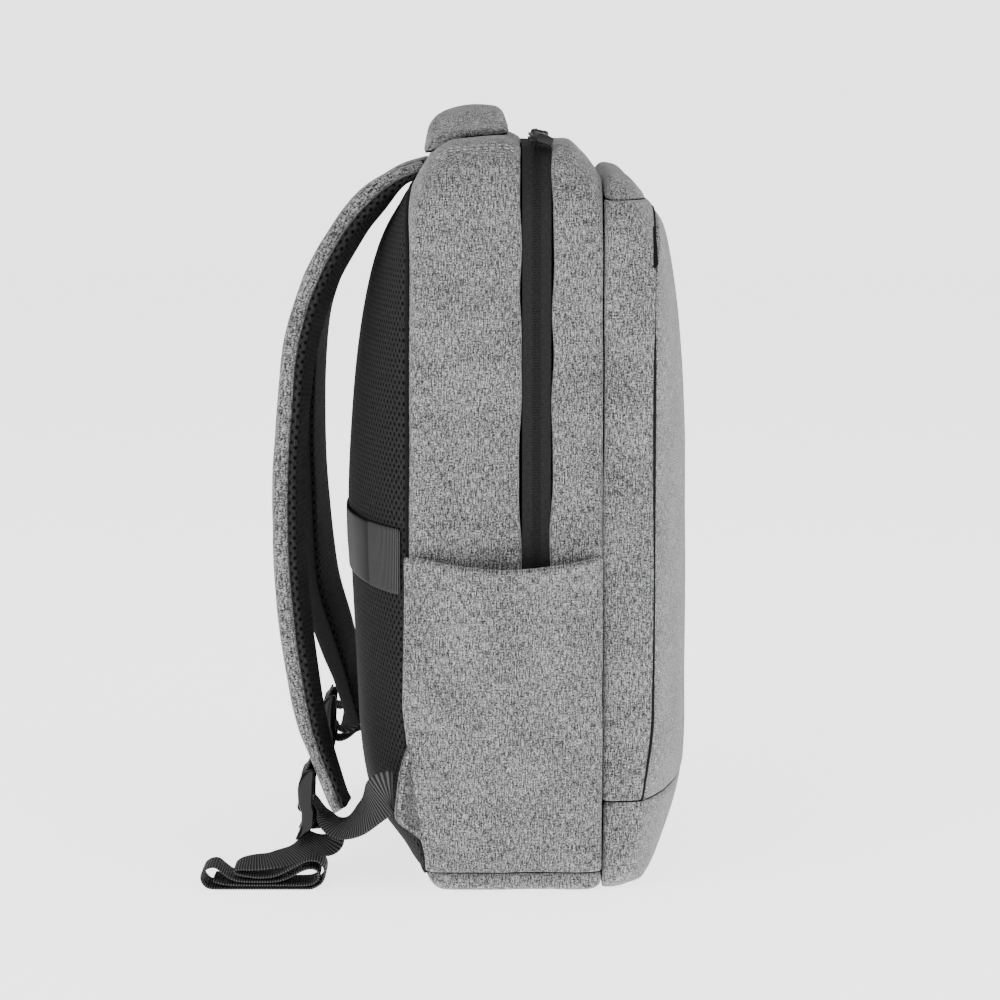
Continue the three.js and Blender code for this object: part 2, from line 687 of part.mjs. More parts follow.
// Turn of the webbing round a bar that lies along X
function roundBar(bar, turn) {
  const { steps } = barTurns;
  const radius = buckle.bar + seamGap + webbing.thick / 2;
  const rows = [];
  for (let i = 0; i <= steps; i += 1) {
    const a = THREE.MathUtils.degToRad(turn.from + ((turn.to - turn.from) * i) / steps);
    const y = bar.y + radius * Math.cos(a);
    const z = bar.z + radius * Math.sin(a);
    rows.push({ x: bar.x, y, z, across: new THREE.Vector3(1, 0, 0) });
  }
  return rows;
}

// Folded tail laid out from a place along one direction of the floor
function tail(place) {
  const pitch = webbing.thick + webbing.layerGap;
  const kept = tailRows.slice(0, tailRows.length - place.left);
  const [origin, along, across, aside] = [place.at, place.along, place.across, place.aside].map(flatXY);
  return kept.map((row) => {
    const tilt = THREE.MathUtils.degToRad(row.tilt);
    const rise = (Math.abs(Math.sin(tilt)) * webbing.width) / 2;
    const at = origin.clone().addScaledVector(along, row.along).addScaledVector(aside, row.drift);
    const direction = across.clone().multiplyScalar(Math.cos(tilt));
    direction.z = Math.sin(tilt);
    const ground = row.lift < 1 ? rise : 0;
    return { x: at.x, y: at.y, z: webbing.thick / 2 + pitch * row.lift + ground, across: direction };
  });
}

// Ladder-lock buckle: two bent rails joined by a top bar, a grip bar and a lip
const buckleRows = [
  { down: 0.04, out: -0.05, thick: 0.5 },
  { down: 0.14, out: 0.1, thick: 0.62 },
  { down: 0.3, out: 0.22, thick: 0.72 },
  { down: 0.48, out: 0.2, thick: 0.8 },
  { down: 0.66, out: 0.0, thick: 0.76 },
  { down: 0.82, out: 0.02, thick: 0.66 },
  { down: 1.0, out: 0.42, thick: 0.3 },
];

const buckleBars = {
  top: { down: 0.12, out: 0.02 },
  grip: { down: 0.55, out: 0.32 },
  lip: { down: 0.93, out: 0.36 },
};

function buckleGeometry() {
  const inside = webbing.width / 2 + buckle.play;
  const shape = new THREE.Shape();
  const edge = (side) => buckleRows.map((row) => {
    const out = row.out + (side * row.thick) / 2;
    return [buckle.depth * out, -buckle.height * row.down];
  });
  const front = edge(1);
  const rear = edge(-1);
  shape.moveTo(rear[0][0], rear[0][1]);
  for (const [y, z] of rear.slice(1)) shape.lineTo(y, z);
  for (const [y, z] of front.reverse()) shape.lineTo(y, z);
  shape.closePath();
  let solid = solidOf(plateYZ(shape, inside + buckle.rail / 2, buckle.rail));
  solid = solid.add(solidOf(plateYZ(shape, -inside - buckle.rail / 2, buckle.rail)));
  const reach = 2 * inside + buckle.rail;
  for (const bar of [buckleBars.top, buckleBars.grip]) {
    const rod = new THREE.CylinderGeometry(buckle.bar, buckle.bar, reach, 12);
    rod.rotateZ(Math.PI / 2);
    rod.translate(0, buckle.depth * bar.out, -buckle.height * bar.down);
    solid = solid.add(solidOf(rod));
  }
  const lip = new THREE.BoxGeometry(reach, buckle.bar, buckle.lip);
  lip.translate(0, buckle.depth * buckleBars.lip.out, -buckle.height * buckleBars.lip.down);
  return geometryOf(solid.add(solidOf(lip)));
}

function barPlace(origin, bar) {
  return { x: origin.x, y: origin.y + buckle.depth * bar.out, z: origin.z - buckle.height * bar.down };
}

// Zip slider with the bridge that its pull hangs in
function sliderGeometry() {
  const axis = pull.wire / 2 + slider.play;
  const body = new THREE.BoxGeometry(slider.length, slider.width, slider.body);
  body.translate(0, 0, -axis - slider.body / 2);
  const shape = new THREE.Shape();
  const reach = slider.length / 2 - slider.ledge;
  const crown = axis + slider.wall;
  shape.moveTo(-reach, -axis - slider.body / 2);
  shape.lineTo(reach, -axis - slider.body / 2);
  shape.lineTo(reach - slider.taper, crown);
  shape.lineTo(slider.taper - reach, crown);
  shape.closePath();
  const eye = new THREE.Path();
  const eyeHalf = pull.wire / 2 + slider.eyePlay;
  eye.moveTo(-eyeHalf, -axis);
  eye.lineTo(-eyeHalf, axis - slider.eyeRoof);
  eye.lineTo(eyeHalf, axis - slider.eyeRoof);
  eye.lineTo(eyeHalf, -axis);
  eye.closePath();
  shape.holes.push(eye);
  const arch = new THREE.ExtrudeGeometry(shape, { depth: slider.bridge, bevelEnabled: false });
  arch.rotateX(Math.PI / 2);
  arch.translate(0, slider.bridge / 2, 0);
  return geometryOf(solidOf(body).add(solidOf(arch)));
}

// Loop of the pull, its first bar on the hinge axis, lying along +X
function ringGeometry() {
  const half = pull.ringWide / 2;
  const frame = (inset) => {
    const shape = inset > 0 ? new THREE.Path() : new THREE.Shape();
    shape.moveTo(-pull.wire / 2 + inset, -half + inset);
    shape.lineTo(pull.ring - pull.wire / 2 - inset, -half + inset);
    shape.lineTo(pull.ring - pull.wire / 2 - inset, half - inset);
    shape.lineTo(-pull.wire / 2 + inset, half - inset);
    shape.closePath();
    return shape;
  };
  const shape = frame(0);
  shape.holes.push(frame(pull.wire));
  const geometry = new THREE.ExtrudeGeometry(shape, { depth: pull.wire, bevelEnabled: false });
  return geometry.translate(0, 0, -pull.wire / 2);
}

function gripGeometry() {
  const w = pull.gripWide / 2;
  const t = pull.gripThick / 2;
  const cut = pull.edge;
  const shape = new THREE.Shape();
  shape.moveTo(-w + cut, -t);
  const corners = [
    [w - cut, -t], [w, -t + cut], [w, t - cut], [w - cut, t], [-w + cut, t], [-w, t - cut], [-w, -t + cut],
  ];
  for (const [y, z] of corners) shape.lineTo(y, z);
  shape.closePath();
  const start = pull.ring - pull.wire / 2 + seamGap;
  return plateYZ(shape, start + pull.grip / 2, pull.grip);
}

// Grab handle: a flat arch over the top, narrower and higher in its middle
function handleSections() {
  const steps = 12;
  const frames = [];
  const topZ = main.height + seamGap;
  for (let i = 0; i <= steps; i += 1) {
    const share = (i / steps) * 2 - 1;
    const lift = (1 - Math.abs(share) ** 3) * handle.rise;
    const width = handle.grip + (handle.width - handle.grip) * Math.abs(share) ** 1.5;
    frames.push({ x: (handle.span / 2) * share, z: topZ + lift, width });
  }
  const y = main.frontY + main.depth * handle.place;
  const build = (low, high) => frames.map((frame, i) => {
    const before = frames[Math.max(i - 1, 0)];
    const after = frames[Math.min(i + 1, steps)];
    const along = new THREE.Vector3(after.x - before.x, 0, after.z - before.z).normalize();
    const normal = new THREE.Vector3(-along.z, 0, along.x);
    const at = new THREE.Vector3(frame.x, y, frame.z).addScaledVector(normal, (low + high) / 2);
    return { at, across: new THREE.Vector3(0, 1, 0), normal, width: frame.width, thick: high - low };
  });
  return {
    lining: build(0, handle.lining),
    cover: build(handle.lining + seamGap, handle.lining + seamGap + handle.cover),
  };
}

const materials = {
  cloth: { color: 0x8a8a8b, roughness: 0.95, metalness: 0 },
  mesh: { color: 0x262628, roughness: 0.95, metalness: 0 },
  webbing: { color: 0x1f1f21, roughness: 0.85, metalness: 0 },
  tape: { color: 0x2c2c2e, roughness: 0.8, metalness: 0 },
  plastic: { color: 0x111113, roughness: 0.35, metalness: 0 },
  metal: { color: 0x1a1a1c, roughness: 0.4, metalness: 0.6 },
};

const backpack = new THREE.Group();

function addPart(name, geometry, material, parent = backpack) {
  const mesh = new THREE.Mesh(geometry, new THREE.MeshStandardMaterial(materials[material]));
  mesh.name = name;
  parent.add(mesh);
  return mesh;
}

// Body of the bag
const shellParts = shellSolids();
addPart('main_shell', geometryOf(shellParts.shell), 'cloth');
addPart('base_panel', geometryOf(shellParts.tray), 'cloth');
const pocketParts = pocketSolids();
addPart('front_gusset_left', geometryOf(pocketParts.left), 'cloth');
addPart('front_gusset_right', geometryOf(pocketParts.right), 'cloth');
addPart('front_top', geometryOf(pocketParts.top), 'cloth');
addPart('front_panel', geometryOf(pocketParts.panel), 'cloth');
addPart('front_base', geometryOf(pocketParts.base), 'cloth');

// Zip along the top and the sides
const tapeFront = zip.front + seamGap;
const tapeBack = zip.back - seamGap;
const tapeDeep = zip.tapeDepth + zip.tape;
const zipY = (zip.front + zip.back) / 2;
const coilTop = zip.tapeDepth - seamGap - zip.coilHigh;
const coilFront = zipY - zip.coilWide / 2;
const coilBack = zipY + zip.coilWide / 2;
const zipFoot = zip.low + seamGap;
const tape = zipPart(tapeFront, tapeBack, zip.tapeDepth, tapeDeep, zipFoot);
addPart('main_zip_tape', geometryOf(tape), 'tape');
const coil = zipPart(coilFront, coilBack, coilTop, zip.tapeDepth - seamGap, zipFoot);
addPart('main_zip_coil', geometryOf(coil), 'plastic');

// Sliders and pulls, one pull towards each side
const zipShare = (zipY - main.frontY) / main.depth;
const zipTop = main.height * read(mainSections, 'back', zipShare, 'top');
const axisZ = zipTop - coilTop + seamGap + slider.body + pull.wire / 2 + slider.play;
const pulls = [
  { side: 'left', x: slider.atX, heading: 189, drop: 5, roll: -20 },
  { side: 'right', x: slider.atX + slider.pitch, heading: -6, drop: 2, roll: 10 },
];
for (const entry of pulls) {
  const hinge = new THREE.Group();
  hinge.position.set(entry.x, zipY, axisZ);
  backpack.add(hinge);
  addPart(`zip_slider_${entry.side}`, sliderGeometry(), 'metal', hinge);
  const heading = new THREE.Group();
  heading.rotation.z = THREE.MathUtils.degToRad(entry.heading);
  const arm = new THREE.Group();
  arm.rotation.y = THREE.MathUtils.degToRad(entry.drop);
  heading.add(arm);
  hinge.add(heading);
  addPart(`puller_ring_${entry.side}`, ringGeometry(), 'metal', arm);
  const grip = addPart(`puller_grip_${entry.side}`, gripGeometry(), 'plastic', arm);
  grip.rotation.x = THREE.MathUtils.degToRad(entry.roll);
}

// Back pad and the band across it
addPart('back_pad', backPad(), 'mesh');
const bandHalf = halfWidth * mainSections[mainSections.length - 1].half * rearRings[1];
const webStart = bandHalf - band.webLength;
const bandReach = webStart - seamGap;
addPart('trolley_band', padStrip(-bandReach, bandReach, 14), 'tape');
for (const sign of [-1, 1]) {
  const strip = padStrip(sign * webStart, sign * bandHalf, 7);
  addPart(sign < 0 ? 'trolley_web_left' : 'trolley_web_right', strip, 'webbing');
}

// Pieces that each side has
const sections = strapSections();
const padEdge = halfWidth * mainSections[mainSections.length - 1].half;
for (const sign of [-1, 1]) {
  const name = sign < 0 ? 'left' : 'right';
  addPart(`side_pocket_${name}`, sidePocket(sign), 'cloth');
  const frames = strapFrames(sign);
  addPart(`strap_cover_${name}`, sweep(frames, sections.cover), 'cloth');
  addPart(`strap_mesh_${name}`, sweep(frames, sections.mesh), 'mesh');

  const inner = padEdge - wing.thick;
  const seat = (z) => Math.max(rearDome(inner, z, pad.shellPart), rearEdge(z)) + wing.seat;
  const hold = new THREE.Shape();
  hold.moveTo(seat(wing.high), wing.high);
  hold.lineTo(rearEdge(wing.edgeHigh) + wing.reachHigh, wing.edgeHigh);
  hold.lineTo(rearEdge(wing.edgeLow) + wing.reachLow, wing.edgeLow);
  hold.lineTo(seat(wing.low), wing.low);
  hold.closePath();
  addPart(`wing_${name}`, plateYZ(hold, sign * (padEdge - wing.thick / 2), wing.thick), 'cloth');
}

// Buckles, their loops and the webbing through them
const buckleOrigins = {
  left: new THREE.Vector3(-halfWidth + 42, rearY + 62, 66.2),
  right: new THREE.Vector3(halfWidth - 42, rearY + 59.6, 71.2),
};
// Upper and lower ends of a buckle's loop from its top bar, where it is sewn in
const loopEnds = {
  left: { topBack: 1.6, rise: 7.5, back: 4.6, drop: 2.6 },
  right: { topBack: 1.6, rise: 7.5, back: 8.8, drop: 5 },
};
// Where each folded tail starts on the floor, its run and its width's direction
const tailPlaces = {
  left: { at: [15.5 - halfWidth, rearY + 50.7], along: [0, 1], across: [1, 0], aside: [26.5, 0], left: 0 },
  right: { at: [halfWidth - 33, rearY + 21.2], along: [1, 0], across: [0, 1], aside: [0, 2], left: 3 },
};
const flatXY = ([x, y]) => new THREE.Vector3(x, y, 0);
for (const name of ['left', 'right']) {
  const origin = buckleOrigins[name];
  const lock = addPart(`buckle_${name}`, buckleGeometry(), 'plastic');
  lock.position.copy(origin);
  const top = barPlace(origin, buckleBars.top);
  const grip = barPlace(origin, buckleBars.grip);
  const across = new THREE.Vector3(1, 0, 0);
  const ends = loopEnds[name];
  const loopRows = [
    { x: top.x, y: top.y - ends.topBack, z: top.z + ends.rise, across },
    ...roundBar(top, barTurns.top),
    { x: top.x, y: top.y - ends.back, z: top.z - ends.drop, across },
  ];
  addPart(`buckle_loop_${name}`, sweep(webbingFrames(loopRows), ribbonSection), 'webbing');

  const upright = new THREE.Vector3(0, 0, 1);
  const lying = new THREE.Vector3(0, 1, 0);
  const sign = name === 'left' ? -1 : 1;
  const route = faced(sign < 0 ? leftRoute : rightRoute, sign, upright);
  const fall = sign < 0 ? faced(leftFall, sign, upright) : faced(rightFall, sign, lying);
  const rows = [...route, ...roundBar(grip, barTurns.grip), ...fall, ...tail(tailPlaces[name])];
  addPart(`webbing_${name}`, sweep(webbingFrames(rows), ribbonSection), 'webbing');
}

// Grab handle
const handleParts = handleSections();
addPart('handle_lining', sweep(handleParts.lining, ribbonSection), 'mesh');
addPart('handle_cover', sweep(handleParts.cover, ribbonSection), 'cloth');

// Tab on the front pocket's seam
const tabX = -(halfWidth * pocketSections[pocketSections.length - 1].half + seamGap + tab.thick / 2);
const tabShape = new THREE.Shape();
const tabLow = main.height - tab.low;
const tabHigh = main.height - tab.high;
const tabMiddle = frontEdge(tabLow);
tabShape.moveTo(tabMiddle + tab.width / 2, tabLow);
tabShape.lineTo(tabMiddle + tab.width / 2, tabHigh);
tabShape.lineTo(tabMiddle - tab.width / 2, tabHigh);
tabShape.lineTo(tabMiddle - tab.width / 2, tabLow);
tabShape.closePath();
addPart('front_tab', plateYZ(tabShape, tabX, tab.thick), 'webbing');

export default backpack;
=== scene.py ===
import math

import bmesh
import bpy
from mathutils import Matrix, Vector, noise
from mathutils.bvhtree import BVHTree


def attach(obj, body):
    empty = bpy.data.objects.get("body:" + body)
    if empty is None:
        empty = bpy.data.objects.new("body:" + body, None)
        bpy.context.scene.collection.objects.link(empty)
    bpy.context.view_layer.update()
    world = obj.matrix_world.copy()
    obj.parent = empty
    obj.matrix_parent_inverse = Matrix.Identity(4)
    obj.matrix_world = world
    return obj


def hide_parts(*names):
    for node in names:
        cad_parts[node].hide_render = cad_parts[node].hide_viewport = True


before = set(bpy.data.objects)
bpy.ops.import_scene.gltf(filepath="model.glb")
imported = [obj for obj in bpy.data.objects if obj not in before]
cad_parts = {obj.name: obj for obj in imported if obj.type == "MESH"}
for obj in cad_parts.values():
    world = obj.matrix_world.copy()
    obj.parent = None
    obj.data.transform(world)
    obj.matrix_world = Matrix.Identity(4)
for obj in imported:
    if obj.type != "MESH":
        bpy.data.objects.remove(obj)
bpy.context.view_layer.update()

mm = 0.001
print("frame loaded")

# Camera at the photograph's angle, looking along +X and a little down
shot = {"place": (-2.015, 0.017, 0.4656), "down": 7.28, "lens": 120, "sensor": 36}
cameraData = bpy.data.cameras.new("camera")
cameraData.lens = shot["lens"]
cameraData.sensor_width = shot["sensor"]
cameraData.clip_end = 50
camera = bpy.data.objects.new("camera", cameraData)
camera.location = shot["place"]
camera.rotation_euler = (math.radians(90 - shot["down"]), 0, math.radians(-90))
bpy.context.scene.collection.objects.link(camera)
bpy.context.scene.camera = camera


# Small helpers
def curve(rows):
    # monotone cubic through (place, value) rows
    places = [row[0] for row in rows]
    values = [row[1] for row in rows]
    steps = [(values[i + 1] - values[i]) / (places[i + 1] - places[i]) for i in range(len(rows) - 1)]
    slopes = [steps[0]]
    for before, after in zip(steps, steps[1:]):
        slopes.append(0 if before * after <= 0 else 2 * before * after / (before + after))
    slopes.append(steps[-1])

    def valueAt(place):
        if place <= places[0]:
            return values[0]
        if place >= places[-1]:
            return values[-1]
        i = max(k for k in range(len(places) - 1) if places[k] <= place)
        run = places[i + 1] - places[i]
        t = (place - places[i]) / run
        a = (1 + 2 * t) * (1 - t) ** 2
        b = t * (1 - t) ** 2
        c = t * t * (3 - 2 * t)
        d = t * t * (t - 1)
        return a * values[i] + b * run * slopes[i] + c * values[i + 1] + d * run * slopes[i + 1]
    return valueAt


def column(rows, key, value):
    return curve([(row[key], row[value]) for row in rows])


def between(a, b, count):
    return [a + (b - a) * i / (count - 1) for i in range(count)]


def gridMesh(nu, nv, place, closed=False, uvPlace=None):
    # a grid of bmesh points, each moved to its place on the surface
    bm = bmesh.new()
    bmesh.ops.create_grid(bm, x_segments=nu, y_segments=nv, size=0.5)
    bm.verts.index_update()
    coords = [(min(1, max(0, round(v.co.x + 0.5, 6))), min(1, max(0, round(v.co.y + 0.5, 6)))) for v in bm.verts]
    if uvPlace:
        layer = bm.loops.layers.uv.new("map")
        for face in bm.faces:
            for loop in face.loops:
                loop[layer].uv = uvPlace(*coords[loop.vert.index])
    for v, (a, b) in zip(bm.verts, coords):
        v.co = place(a, b) * mm
    if closed:
        bmesh.ops.remove_doubles(bm, verts=bm.verts, dist=1e-6)
    return bm


def cut(bm, point, normal, keep=None):
    # keep is "front" for the side the normal points to, "back" or None for both
    geometry = bm.verts[:] + bm.edges[:] + bm.faces[:]
    bmesh.ops.bisect_plane(
        bm, geom=geometry, dist=1e-7, plane_co=Vector(point) * mm, plane_no=Vector(normal),
        clear_inner=keep == "front", clear_outer=keep == "back")


def faceOut(bm, centre):
    middle = Vector(centre) * mm
    total = sum(f.calc_area() * f.normal.dot(f.calc_center_median() - middle) for f in bm.faces)
    if total < 0:
        bmesh.ops.reverse_faces(bm, faces=bm.faces[:])
    bm.normal_update()


def rollSeam(bm, point, normal, depth=1.3, width=4.5):
    # the cloth turns in along a seam; it lies on the side the normal points to
    point, normal = Vector(point), Vector(normal).normalized()
    for step in (0.5, 1.2, 2.2, 3.4):
        cut(bm, point + normal * step, normal)
    bm.normal_update()
    moves = []
    for v in bm.verts:
        away = (v.co / mm - point).dot(normal)
        if -0.5 < away < width:
            share = 1 - max(0, away) / width
            moves.append((v, v.normal * (-depth * share ** 2.4 * mm)))
    for v, move in moves:
        v.co += move


def ripple(bm, amount, size, seed=0.0):
    bm.normal_update()
    moves = []
    for v in bm.verts:
        p = v.co / (size * mm)
        lift = noise.noise(p + Vector((seed, 0, 0))) * amount
        moves.append((v, v.normal * lift * mm))
    for v, move in moves:
        v.co += move


def boxUv(bm):
    bm.normal_update()
    layer = bm.loops.layers.uv.verify()
    for face in bm.faces:
        n = [abs(c) for c in face.normal]
        for loop in face.loops:
            x, y, z = loop.vert.co
            if n[0] >= n[1] and n[0] >= n[2]:
                loop[layer].uv = (y, z)
            elif n[1] >= n[2]:
                loop[layer].uv = (x, z)
            else:
                loop[layer].uv = (x, y)


def addPiece(name, bm, finish, replaces=(), body="bag", wall=None, smooth=1, bevel=None):
    mesh = bpy.data.meshes.new(name)
    for v in bm.verts:
        v.co.z = max(v.co.z, 0.0001)
    for face in bm.faces:
        face.smooth = True
    bm.to_mesh(mesh)
    bm.free()
    piece = bpy.data.objects.new(name, mesh)
    bpy.context.scene.collection.objects.link(piece)
    mesh.materials.append(finish)
    if wall:
        solid = piece.modifiers.new("wall", "SOLIDIFY")
        solid.thickness = wall * mm
        solid.offset = -1
        solid.use_even_offset = False
    if bevel:
        edge = piece.modifiers.new("edge", "BEVEL")
        edge.width = bevel * mm
        edge.segments = 3
        edge.limit_method = "ANGLE"
        edge.angle_limit = math.radians(30)
    if smooth:
        soft = piece.modifiers.new("smooth", "SUBSURF")
        soft.levels = smooth
        soft.render_levels = smooth
    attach(piece, body)
    if replaces:
        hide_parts(*replaces)
    return piece


# Materials
def newMaterial(name, roughness, specular=0.5):
    finish = bpy.data.materials.new(name)
    finish.use_nodes = True
    tree = finish.node_tree
    shader = tree.nodes["Principled BSDF"]
    shader.inputs["Roughness"].default_value = roughness
    shader.inputs["Specular IOR Level"].default_value = specular
    return finish, tree, shader


def addNode(tree, kind, settings=None, inputs=None):
    node = tree.nodes.new(kind)
    for key, value in (settings or {}).items():
        setattr(node, key, value)
    for key, value in (inputs or {}).items():
        if isinstance(value, bpy.types.NodeSocket):
            tree.links.new(value, node.inputs[key])
        else:
            node.inputs[key].default_value = value
    return node


def calc(tree, operation, a, b=0.0, clamp=False):
    return addNode(tree, "ShaderNodeMath", {"operation": operation, "use_clamp": clamp}, {0: a, 1: b}).outputs[0]


def streaks(tree, coords, scale, detail=2.0, roughness=0.6, offset=(0, 0, 0)):
    place = addNode(tree, "ShaderNodeMapping", None, {"Vector": coords, "Scale": scale, "Location": offset})
    return addNode(tree, "ShaderNodeTexNoise", None, {
        "Vector": place.outputs[0], "Scale": 1.0, "Detail": detail, "Roughness": roughness}).outputs["Fac"]


def ramp(tree, value, stops):
    node = addNode(tree, "ShaderNodeValToRGB", None, {"Fac": value})
    elements = node.color_ramp.elements
    while len(elements) < len(stops):
        elements.new(0.5)
    for element, (place, colour) in zip(elements, stops):
        element.position = place
        element.color = (*colour, 1) if len(colour) == 3 else colour
    return node.outputs["Color"]


def grey(value, tint=0.0):
    return (value, value, value * (1 + tint))


def bump(tree, shader, height, distance, strength=1.0):
    node = addNode(tree, "ShaderNodeBump", None, {"Height": height, "Distance": distance, "Strength": strength})
    tree.links.new(node.outputs[0], shader.inputs["Normal"])


def mixColour(tree, factor, a, b, blend="MIX"):
    node = addNode(tree, "ShaderNodeMix", {"data_type": "RGBA", "blend_type": blend})
    for key, value in ((0, factor), (6, a), (7, b)):
        if isinstance(value, bpy.types.NodeSocket):
            tree.links.new(value, node.inputs[key])
        else:
            node.inputs[key].default_value = value
    return node.outputs[2]


heather = {"light": 0.477, "dark": 0.0123, "warp": (1350, 210, 1), "weft": (300, 1350, 1),
           "fleck": (1250, 1050, 1), "thread": 0.00056, "centre": 0.513, "spread": 1.0}


def heatherCloth(name, light=heather["light"], dark=heather["dark"]):
    finish, tree, shader = newMaterial(name, 0.92, 0.2)
    coords = addNode(tree, "ShaderNodeTexCoord").outputs["UV"]
    warp = streaks(tree, coords, heather["warp"], 2.0, 0.65)
    weft = streaks(tree, coords, heather["weft"], 2.0, 0.65, (3, 7, 0))
    fleck = streaks(tree, coords, heather["fleck"], 1.0, 0.5, (11, 5, 0))
    broad = streaks(tree, coords, (36, 36, 1), 2.0, 0.5, (1, 9, 0))
    both = calc(tree, "ADD", calc(tree, "MULTIPLY", warp, 0.68), calc(tree, "MULTIPLY", weft, 0.32))
    mixed = calc(tree, "ADD", calc(tree, "MULTIPLY", both, 0.62), calc(tree, "MULTIPLY", fleck, 0.38))
    shade = calc(tree, "ADD", mixed, calc(tree, "MULTIPLY", calc(tree, "SUBTRACT", broad, 0.5), 0.07))
    middle = (light * dark) ** 0.5
    centre, spread = heather["centre"], heather["spread"]
    colour = ramp(tree, shade, [
        (centre - 0.115 * spread, grey(dark, 0.02)), (centre - 0.04 * spread, grey(middle, 0.015)),
        (centre + 0.025 * spread, grey((middle + light) / 2.4, 0.01)), (centre + 0.115 * spread, grey(light))])
    tree.links.new(colour, shader.inputs["Base Color"])
    shader.inputs["Sheen Weight"].default_value = 0.25
    shader.inputs["Sheen Roughness"].default_value = 0.5
    parts = addNode(tree, "ShaderNodeSeparateXYZ", None, {0: coords})
    pitch = 2 * math.pi / heather["thread"]
    waveA = calc(tree, "SINE", calc(tree, "MULTIPLY", parts.outputs[0], pitch))
    waveB = calc(tree, "SINE", calc(tree, "MULTIPLY", parts.outputs[1], pitch))
    weave = calc(tree, "MULTIPLY", waveA, waveB)
    height = calc(tree, "ADD", calc(tree, "MULTIPLY", weave, 0.3), calc(tree, "MULTIPLY", mixed, 2.2))
    bump(tree, shader, height, 0.00022, 0.7)
    return finish


airMesh = {"pitchU": 0.0042, "pitchV": 0.0030, "hole": 0.00085, "stretch": 0.72, "base": 0.0096, "line": 0.0322}


def meshCloth(name, base=airMesh["base"], line=airMesh["line"]):
    # spacer mesh: staggered oval holes in a fine knit
    finish, tree, shader = newMaterial(name, 0.9, 0.1)
    coords = addNode(tree, "ShaderNodeTexCoord").outputs["UV"]
    parts = addNode(tree, "ShaderNodeSeparateXYZ", None, {0: coords})
    across = calc(tree, "DIVIDE", parts.outputs[0], airMesh["pitchU"])
    along = calc(tree, "DIVIDE", parts.outputs[1], airMesh["pitchV"])
    odd = calc(tree, "MULTIPLY", calc(tree, "FLOORED_MODULO", calc(tree, "FLOOR", along), 2.0), 0.5)
    cellU = calc(tree, "SUBTRACT", calc(tree, "FRACT", calc(tree, "ADD", across, odd)), 0.5)
    cellV = calc(tree, "SUBTRACT", calc(tree, "FRACT", along), 0.5)
    farU = calc(tree, "MULTIPLY", cellU, airMesh["pitchU"])
    farV = calc(tree, "MULTIPLY", cellV, airMesh["pitchV"] * airMesh["stretch"])
    squares = calc(tree, "ADD", calc(tree, "MULTIPLY", farU, farU), calc(tree, "MULTIPLY", farV, farV))
    far = calc(tree, "SQRT", squares)
    solid = calc(tree, "DIVIDE", calc(tree, "SUBTRACT", far, airMesh["hole"] * 0.72), airMesh["hole"] * 0.5, True)
    knit = streaks(tree, coords, (2400, 420, 1), 2.0, 0.6)
    cloth = ramp(tree, knit, [(0.35, grey(base, 0.03)), (0.65, grey(line, 0.02))])
    # the holes are real, but their near-black colour is painted shade standing in for the shade inside them
    colour = mixColour(tree, solid, (0.0008, 0.0008, 0.0009, 1), cloth)
    tree.links.new(colour, shader.inputs["Base Color"])
    bump(tree, shader, calc(tree, "ADD", solid, calc(tree, "MULTIPLY", knit, 0.35)), 0.0006, 0.8)
    return finish


# low is the painted shade in the rib hollows, high the painted highlight on the rib tops
ribbed = {"pitch": 0.0015, "low": 0.0093, "high": 0.0800}


def ribbedWebbing(name, low=ribbed["low"], high=ribbed["high"]):
    finish, tree, shader = newMaterial(name, 0.7, 0.15)
    coords = addNode(tree, "ShaderNodeTexCoord").outputs["UV"]
    parts = addNode(tree, "ShaderNodeSeparateXYZ", None, {0: coords})
    wobble = streaks(tree, coords, (900, 300, 1), 1.0)
    along = calc(tree, "ADD", calc(tree, "MULTIPLY", parts.outputs[1], 2 * math.pi / ribbed["pitch"]),
                 calc(tree, "MULTIPLY", wobble, 1.1))
    rib = calc(tree, "ADD", calc(tree, "MULTIPLY", calc(tree, "SINE", along), 0.5), 0.5)
    fine = streaks(tree, coords, (2600, 700, 1), 2.0)
    # painted shade and highlight: the colour follows the ribs, light on their tops and dark in the hollows; the fine
    # noise is random tone in the weave
    value = calc(tree, "MULTIPLY", calc(tree, "POWER", rib, 1.6), calc(tree, "ADD", fine, 0.45))
    colour = ramp(tree, value, [(0.1, grey(low, 0.03)), (0.8, grey(high, 0.02))])
    tree.links.new(colour, shader.inputs["Base Color"])
    bump(tree, shader, calc(tree, "ADD", rib, calc(tree, "MULTIPLY", fine, 0.3)), 0.0003, 0.9)
    return finish


def wovenBlack(name, low, high, roughness, scale=(1900, 500, 1), bumpSize=0.0001):
    finish, tree, shader = newMaterial(name, roughness, 0.12)
    coords = addNode(tree, "ShaderNodeTexCoord").outputs["UV"]
    a = streaks(tree, coords, scale, 2.0)
    b = streaks(tree, coords, (scale[1], scale[0], 1), 2.0, 0.6, (4, 2, 0))
    both = calc(tree, "MULTIPLY", calc(tree, "ADD", a, b), 0.5)
    tree.links.new(ramp(tree, both, [(0.38, grey(low, 0.02)), (0.62, grey(high, 0.02))]), shader.inputs["Base Color"])
    bump(tree, shader, both, bumpSize, 0.8)
    return finish


def hardFinish(name, colour, roughness, grain=900.0, bumpSize=0.00003, shine=0.5):
    finish, tree, shader = newMaterial(name, roughness, shine)
    coords = addNode(tree, "ShaderNodeTexCoord").outputs["Object"]
    fine = addNode(tree, "ShaderNodeTexNoise", None, {"Vector": coords, "Scale": grain, "Detail": 3.0}).outputs["Fac"]
    broad = addNode(tree, "ShaderNodeTexNoise", None, {"Vector": coords, "Scale": 60.0, "Detail": 2.0}).outputs["Fac"]
    tree.links.new(ramp(tree, broad, [(0.3, grey(colour * 0.8)), (0.7, grey(colour * 1.2))]), shader.inputs["Base Color"])
    spread = addNode(tree, "ShaderNodeMapRange", None, {"Value": fine, "To Min": roughness - 0.07, "To Max": roughness + 0.1})
    tree.links.new(spread.outputs[0], shader.inputs["Roughness"])
    bump(tree, shader, fine, bumpSize, 0.6)
    return finish


